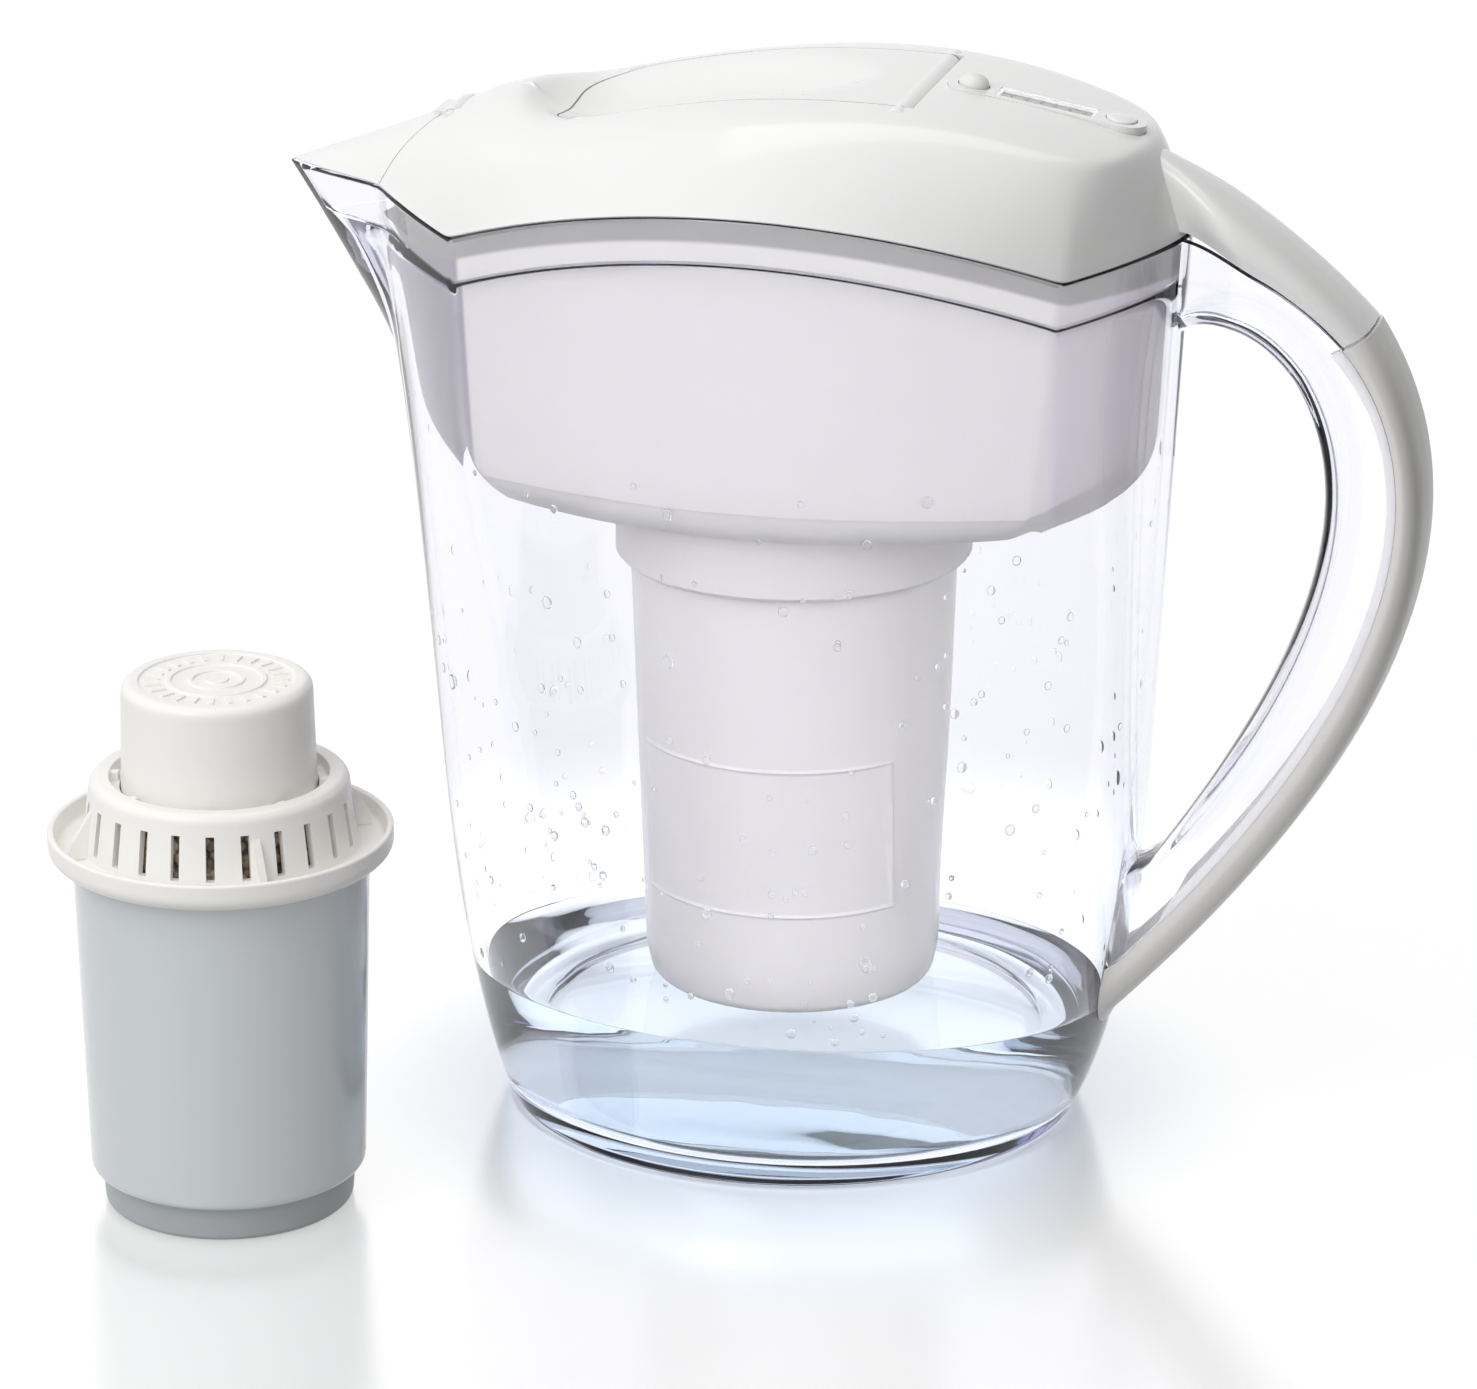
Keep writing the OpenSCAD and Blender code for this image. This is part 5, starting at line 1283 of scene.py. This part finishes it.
def capsule(r, pitch=39.0, n=24):
    """Outline of a bar with round ends"""
    a = np.linspace(-math.pi / 2, math.pi / 2, n)
    right = np.stack([pitch / 2 + r * np.cos(a), r * np.sin(a)], -1)
    return np.concatenate([right, -right])


def dress(node, look):
    """Gives a CAD node that stays as it is its finish"""
    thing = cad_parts[node]
    thing.data.materials.clear()
    thing.data.materials.append(finish(look))


class PITCHER_OT_timer(bpy.types.Operator):
    """Reminder timer: its two keys, and the finishes of housing, window, scale, board and cell"""
    bl_idname, bl_label = "pitcher.timer", "Timer"

    def execute(self, context):
        r, top, bottom = 3.9, -1.9, -2.9

        def key(proud, crown):
            """Profile: flange, straight side up to the crown's foot, and a crown drawn by cos and sin"""
            a = np.linspace(0, 1.45, 12)[1:]
            side = soft_profile([[0.3, bottom, 0], [r + 0.9, bottom, 0.2], [r + 0.9, top, 0.2], [r, top, 0.1],
                                 [r, proud - crown, 0]])
            over = [r * np.cos(a), proud - crown + crown * np.sin(a) / math.sin(a[-1])]
            return np.concatenate([side, np.stack(over, -1)])
        for name, node, body, x, proud, crown, look in (
                ("set_key", "set_button", "set_key", -19.5, 2.9, 2.7, "grip_plastic"),
                ("reset_key", "reset_button", "reset_key", 19.5, 0.9, 0.7, "white_gloss")):
            shape = lathe(key(proud, crown), 64, (x, 0))
            shade(piece(name + "_cap", on_timer(shape), look, body, [node]), 32)
        dress("timer_housing", "white_gloss")
        dress("timer_window", "timer_window")
        dress("timer_scale", "timer_scale")
        dress("timer_board", "circuit_board")
        dress("timer_cell", "drawn_steel")
        dress("button_domes", "drawn_steel")
        return {"FINISHED"}


class PITCHER_OT_cartridge(bpy.types.Operator):
    """Cartridge beside the jug: can, strainer, slotted collar with fins, knob, beads and beds"""
    bl_idname, bl_label = "pitcher.cartridge", "Cartridge"

    def execute(self, context):
        at = (S.cartridge_x, S.cartridge_y)
        can = soft_profile([[28, 9.2, 0.4], [33.9, 9.2, 1.6], [35.4, 10.7, 1.2], [36.6, 52, 0],
                            [37.8, 93.85, 0.3], [36.0, 93.85, 0.3], [33.6, 11, 2], [28, 11, 0.4]], True)
        can = lathe(can, 144, at, True)
        shade(piece("can", can, "can_plastic", "cartridge", ["cartridge_can"]), 40)
        foot = soft_profile([[0.4, 1, 0], [28, 1, 0.3], [28, 0, 0.3], [31, 0, 0.8], [32, 1, 0.8],
                             [32.6, 9, 0.3], [27.85, 9, 0.2], [27.85, 11, 0.2], [26, 11, 0.3], [26, 3, 0.5],
                             [0.4, 3, 0]])
        thing = piece("strainer", lathe(foot, 128, at), "strainer_plastic", "cartridge",
                      ["cartridge_strainer"])
        for i in range(12):
            carve(thing, turned(block(8, 22, -0.8, 0.8, -1, 5), 30 * i, at))
        shade(thing, 32)
        self.collar(at)
        self.knob(at)
        self.beads(at)
        dress("carbon_bed", "carbon_grains")
        dress("mineral_bed", "mineral_grains")
        return {"FINISHED"}

    def collar(self, at):
        """Flange, slotted cone and the recessed top round the knob"""
        z = 94.0
        ring = soft_profile([
            [33.6, z - 5, 0.4], [35.85, z - 5, 0.3], [35.85, z, 0.3], [41.5, z, 1.2], [44, z + 2.5, 1.5],
            [44, z + 7.5, 0.7], [42.4, z + 7.5, 0.6], [41.8, z + 3, 1], [35.4, z + 3, 0.8],
            [33, z + 20.5, 1], [31.5, z + 22, 1], [28, z + 22, 0.4], [28, z + 19, 0.4], [25.3, z + 19, 0.2],
            [25.3, z + 17, 0.2], [31.2, z + 17, 0.6], [33.6, z + 2, 0.8]], closed=True)
        thing = piece("collar", lathe(ring, 240, at, True), "collar_plastic", "cartridge",
                      ["cartridge_collar"])
        slots = [turned(block(29, 37, -1.1, 1.1, z + 5.2, z + 16.7), 15 * i, at) for i in range(24)]
        carve(thing, join(*slots))
        fins = []
        fin = np.array([[34, 3.2], [40, 3], [39.2, 7], [32.5, 17.4], [32, 17]])
        for angle in (35, 125, 215, 305):
            rows = [np.stack([fin[:, 0], 0 * fin[:, 0] + y, z + fin[:, 1]], -1) for y in (-0.9, 0.9)]
            fins.append(turned(wrap(np.stack(rows)), angle, at))
        for angle in range(10, 370, 45):
            fins.append(turned(block(25.8, 28.1, -1.2, 1.2, z + 18.9, z + 21.2), angle, at))
        add_to(thing, join(*fins))
        shade(thing, 32)

    def knob(self, at):
        """Knob with two rings in its top and a plain row of raised marks round them"""
        top, deep, low = 141.0, 140.5, 111.15
        grooves = [g for r0, r1 in ((3, 6), (7.2, 11.5), (12.7, 19.8))
                   for g in ([r0, top, 0.2], [r0 + 0.1, deep, 0.2], [r1, deep, 0.2], [r1 + 0.1, top, 0.2])]
        shape = soft_profile([[0.4, top, 0]] + grooves + [
            [22.6, top, 1.2], [24.3, top - 1.6, 1.6], [25, low, 0.3], [23, low, 0.3], [22.6, top - 4, 0.6],
            [0.4, top - 2.4, 0]])
        mark = block(14.4, 18.4, -0.55, 0.55, top - 0.7, top - 0.05)
        marks = [turned(mark, 15 * i, at) for i in range(24)]
        shade(piece("knob", join(lathe(shape, 128, at), *marks), "collar_plastic", "cartridge",
                    ["cartridge_knob"]), 32)

    def beads(self, at):
        """Beads of the upper bed that show in the slots: low balls, three columns and six rows to a slot"""
        rng = np.random.default_rng(11)
        count = 24 * 18
        k = np.arange(count)
        angle = np.radians(15 * (k // 18) + ((k % 3) - 1) * 1.9 + rng.uniform(-0.5, 0.5, count))
        height = 98.6 + (k % 18 // 3) * 2.15 + rng.uniform(-0.4, 0.4, count)
        size = rng.uniform(0.85, 1.15, count)
        away = 31.6 - (height - 99) * 0.12 + rng.uniform(-0.5, 0.1, count)
        middle_of = np.stack([at[0] + away * np.cos(angle), at[1] + away * np.sin(angle), height], -1)
        theta = np.radians([18, 54, 90, 126, 162])
        phi = np.linspace(0, 2 * math.pi, 8, endpoint=False)
        ball = np.stack([np.sin(theta)[:, None] * np.cos(phi), np.sin(theta)[:, None] * np.sin(phi),
                         np.cos(theta)[:, None] + 0 * phi], -1)
        one = wrap(ball)
        points = one[0][None] * size[:, None, None] + middle_of[:, None]
        shade(piece("beads", copies(one, points), "mineral_grains", "cartridge", ()), 80)


class PITCHER_OT_water(bpy.types.Operator):
    """Water that stands in the jug, and drops on its inner wall. Both are part of the stage."""
    bl_idname, bl_label = "pitcher.water", "Water"

    def execute(self, context):
        level = S.water_z
        side = jug_inside(-0.2)
        keep = side[:, 0, 2] < level - 1.5
        low = side[keep] - [0, 0, 0.2]
        wall = S.jug_wall - 0.2
        rise = np.array([-0.8, 0.9, 0.7, 0.25, 0, 0, 0])
        top = rings((level + rise) / S.rim_h, [wall, wall, wall + 0.5, wall + 1.6, wall + 3.5, 25, 60])
        body = piece("water", wrap(soften(np.concatenate([low, top]), 1.3)), "water", None)
        shade(body, 50)
        shade(piece("drops", self.drops(), "water", None), 60)
        return {"FINISHED"}

    @staticmethod
    def drops():
        """Flattened half balls on the jug's inner wall, each in the plane of the wall where it hangs"""
        rng = np.random.default_rng(5)
        grid = soften(rings(np.linspace(0.15, 0.8, 160), S.jug_wall), 1.3)
        m, n = grid.shape[:2]
        count, smallest, spread = 330, 0.5, 1.6
        row = (m * rng.beta(1.1, 1.9, count)).astype(int) % (m - 2) + 1
        col = rng.integers(0, n, count)
        p = grid[row, col]
        u = grid[row, (col + 1) % n] - grid[row, (col - 1) % n]
        v = grid[row + 1, col] - grid[row - 1, col]
        u /= np.linalg.norm(u, axis=1, keepdims=True)
        v -= u * np.einsum("ij,ij->i", u, v)[:, None]
        v /= np.linalg.norm(v, axis=1, keepdims=True)
        w = -np.cross(u, v)
        size = smallest + spread * rng.beta(1.1, 3.6, count)
        theta = np.radians([10, 35, 60, 80, 95])
        phi = np.linspace(0, 2 * math.pi, 10, endpoint=False)
        one = wrap(np.stack([np.sin(theta)[:, None] * np.cos(phi), np.sin(theta)[:, None] * np.sin(phi),
                             0.55 * np.cos(theta)[:, None] + 0 * phi], -1))
        q = one[0][None] * size[:, None, None] * [1, 1.12, 1]
        sag = 0.12 * size[:, None] * (q[..., 1] < 0)
        points = p[:, None] + q[..., :1] * u[:, None] + (q[..., 1:2] - sag[..., None]) * v[:, None] \
            + (q[..., 2:] - 0.03) * w[:, None]
        return outward(copies(one, points))


# The camera at the photograph's angle: degrees, metres, and its focal length and width in the photo's pixels
CAMERA_TURN, CAMERA_TILT, CAMERA_AWAY, CAMERA_TARGET = 15.23, 19.56, 1.8385, (-0.01528, 0.0, 0.10908)
SENSOR, FOCAL_PIXELS, PHOTO_PIXELS = 36.0, 6950.5, 1477


class PITCHER_OT_stage(bpy.types.Operator):
    """Floor, world, soft lamps, a black card that keeps light off the handle side, and the camera"""
    bl_idname, bl_label = "pitcher.stage", "Stage"

    def execute(self, context):
        scene = context.scene
        floor = piece("floor", block(-6000, 6000, -6000, 6000, -20, -0.25), "studio_floor", None)
        world = bpy.data.worlds.new("studio")
        scene.world = world
        tree = Tree(world)
        open_air = 0.2 + (tree.facing((-0.28, -0.64, 0.715)) ** 1.5) * 1.17
        inside = 1.3 + tree.facing((0.0, -0.97, 0.22)) * 2.8
        soft = mix(open_air, inside, tree.path("Is Transmission Ray"))
        sky = tree.node("ShaderNodeBackground", None, {0: (1, 1, 1, 1), 1: mix(soft, 1.0, tree.seen())})
        out = tree.nodes.new("ShaderNodeOutputWorld")
        tree.links.new(sky.socket, out.inputs["Surface"])
        self.lamp("key", (-0.65, -1.43, 1.65), 0.7, 1.1, 7)
        self.lamp("top", (0.0, 0.35, 1.9), 1.4, 1.0, 5)
        flag = piece("flag", block(290, 295, -260, 350, 60, 700), "black_card", None)
        flag.visible_camera = flag.visible_transmission = flag.visible_glossy = False
        scene.view_settings.view_transform = "Standard"
        data = bpy.data.cameras.new("camera")
        camera = bpy.data.objects.new("camera", data)
        scene.collection.objects.link(camera)
        a, e, distance = math.radians(CAMERA_TURN), math.radians(CAMERA_TILT), CAMERA_AWAY
        target = Vector(CAMERA_TARGET)
        back = Vector((math.sin(a) * math.cos(e), -math.cos(a) * math.cos(e), math.sin(e)))
        camera.location = target + back * distance
        camera.rotation_euler = back.to_track_quat("Z", "Y").to_euler()
        data.sensor_width, data.lens = SENSOR, SENSOR * FOCAL_PIXELS / PHOTO_PIXELS
        data.clip_start, data.clip_end = 0.05, 50
        scene.camera = camera
        return {"FINISHED"}

    @staticmethod
    def lamp(name, place, wide, high, power):
        """Soft rectangular lamp that faces the jug"""
        data = bpy.data.lights.new(name, "AREA")
        data.shape, data.size, data.size_y, data.energy = "RECTANGLE", wide, high, power
        thing = bpy.data.objects.new(name, data)
        bpy.context.scene.collection.objects.link(thing)
        thing.location = place
        thing.rotation_euler = (Vector(place) - Vector((0, 0, 0.12))).to_track_quat("Z", "Y").to_euler()
        thing.visible_camera = False


STEPS = (PITCHER_OT_jug, PITCHER_OT_handle, PITCHER_OT_hopper, PITCHER_OT_sleeve, PITCHER_OT_lid,
         PITCHER_OT_hatch, PITCHER_OT_timer, PITCHER_OT_cartridge, PITCHER_OT_water, PITCHER_OT_stage)


class PITCHER_PT_panel(bpy.types.Panel):
    """Sidebar panel with the sizes, the colours and a button for each step"""
    bl_label = "Water Filter Pitcher"
    bl_idname = "PITCHER_PT_panel"
    bl_space_type = "VIEW_3D"
    bl_region_type = "UI"
    bl_category = "Pitcher"

    def draw(self, context):
        for step in STEPS:
            self.layout.operator(step.bl_idname)
        for group in (context.scene.pitcher_sizes, context.scene.pitcher_colours):
            box = self.layout.box()
            for name in group.__annotations__:
                box.prop(group, name)


CLASSES = (PitcherSizes, PitcherColours) + STEPS + (PITCHER_PT_panel,)


def register():
    for cls in CLASSES:
        bpy.utils.register_class(cls)
    bpy.types.Scene.pitcher_sizes = PointerProperty(type=PitcherSizes)
    bpy.types.Scene.pitcher_colours = PointerProperty(type=PitcherColours)


def unregister():
    del bpy.types.Scene.pitcher_colours
    del bpy.types.Scene.pitcher_sizes
    for cls in reversed(CLASSES):
        bpy.utils.unregister_class(cls)


def main():
    register()
    for step in STEPS:
        group, name = step.bl_idname.split(".")
        getattr(getattr(bpy.ops, group), name)()


if __name__ == "__main__":
    main()
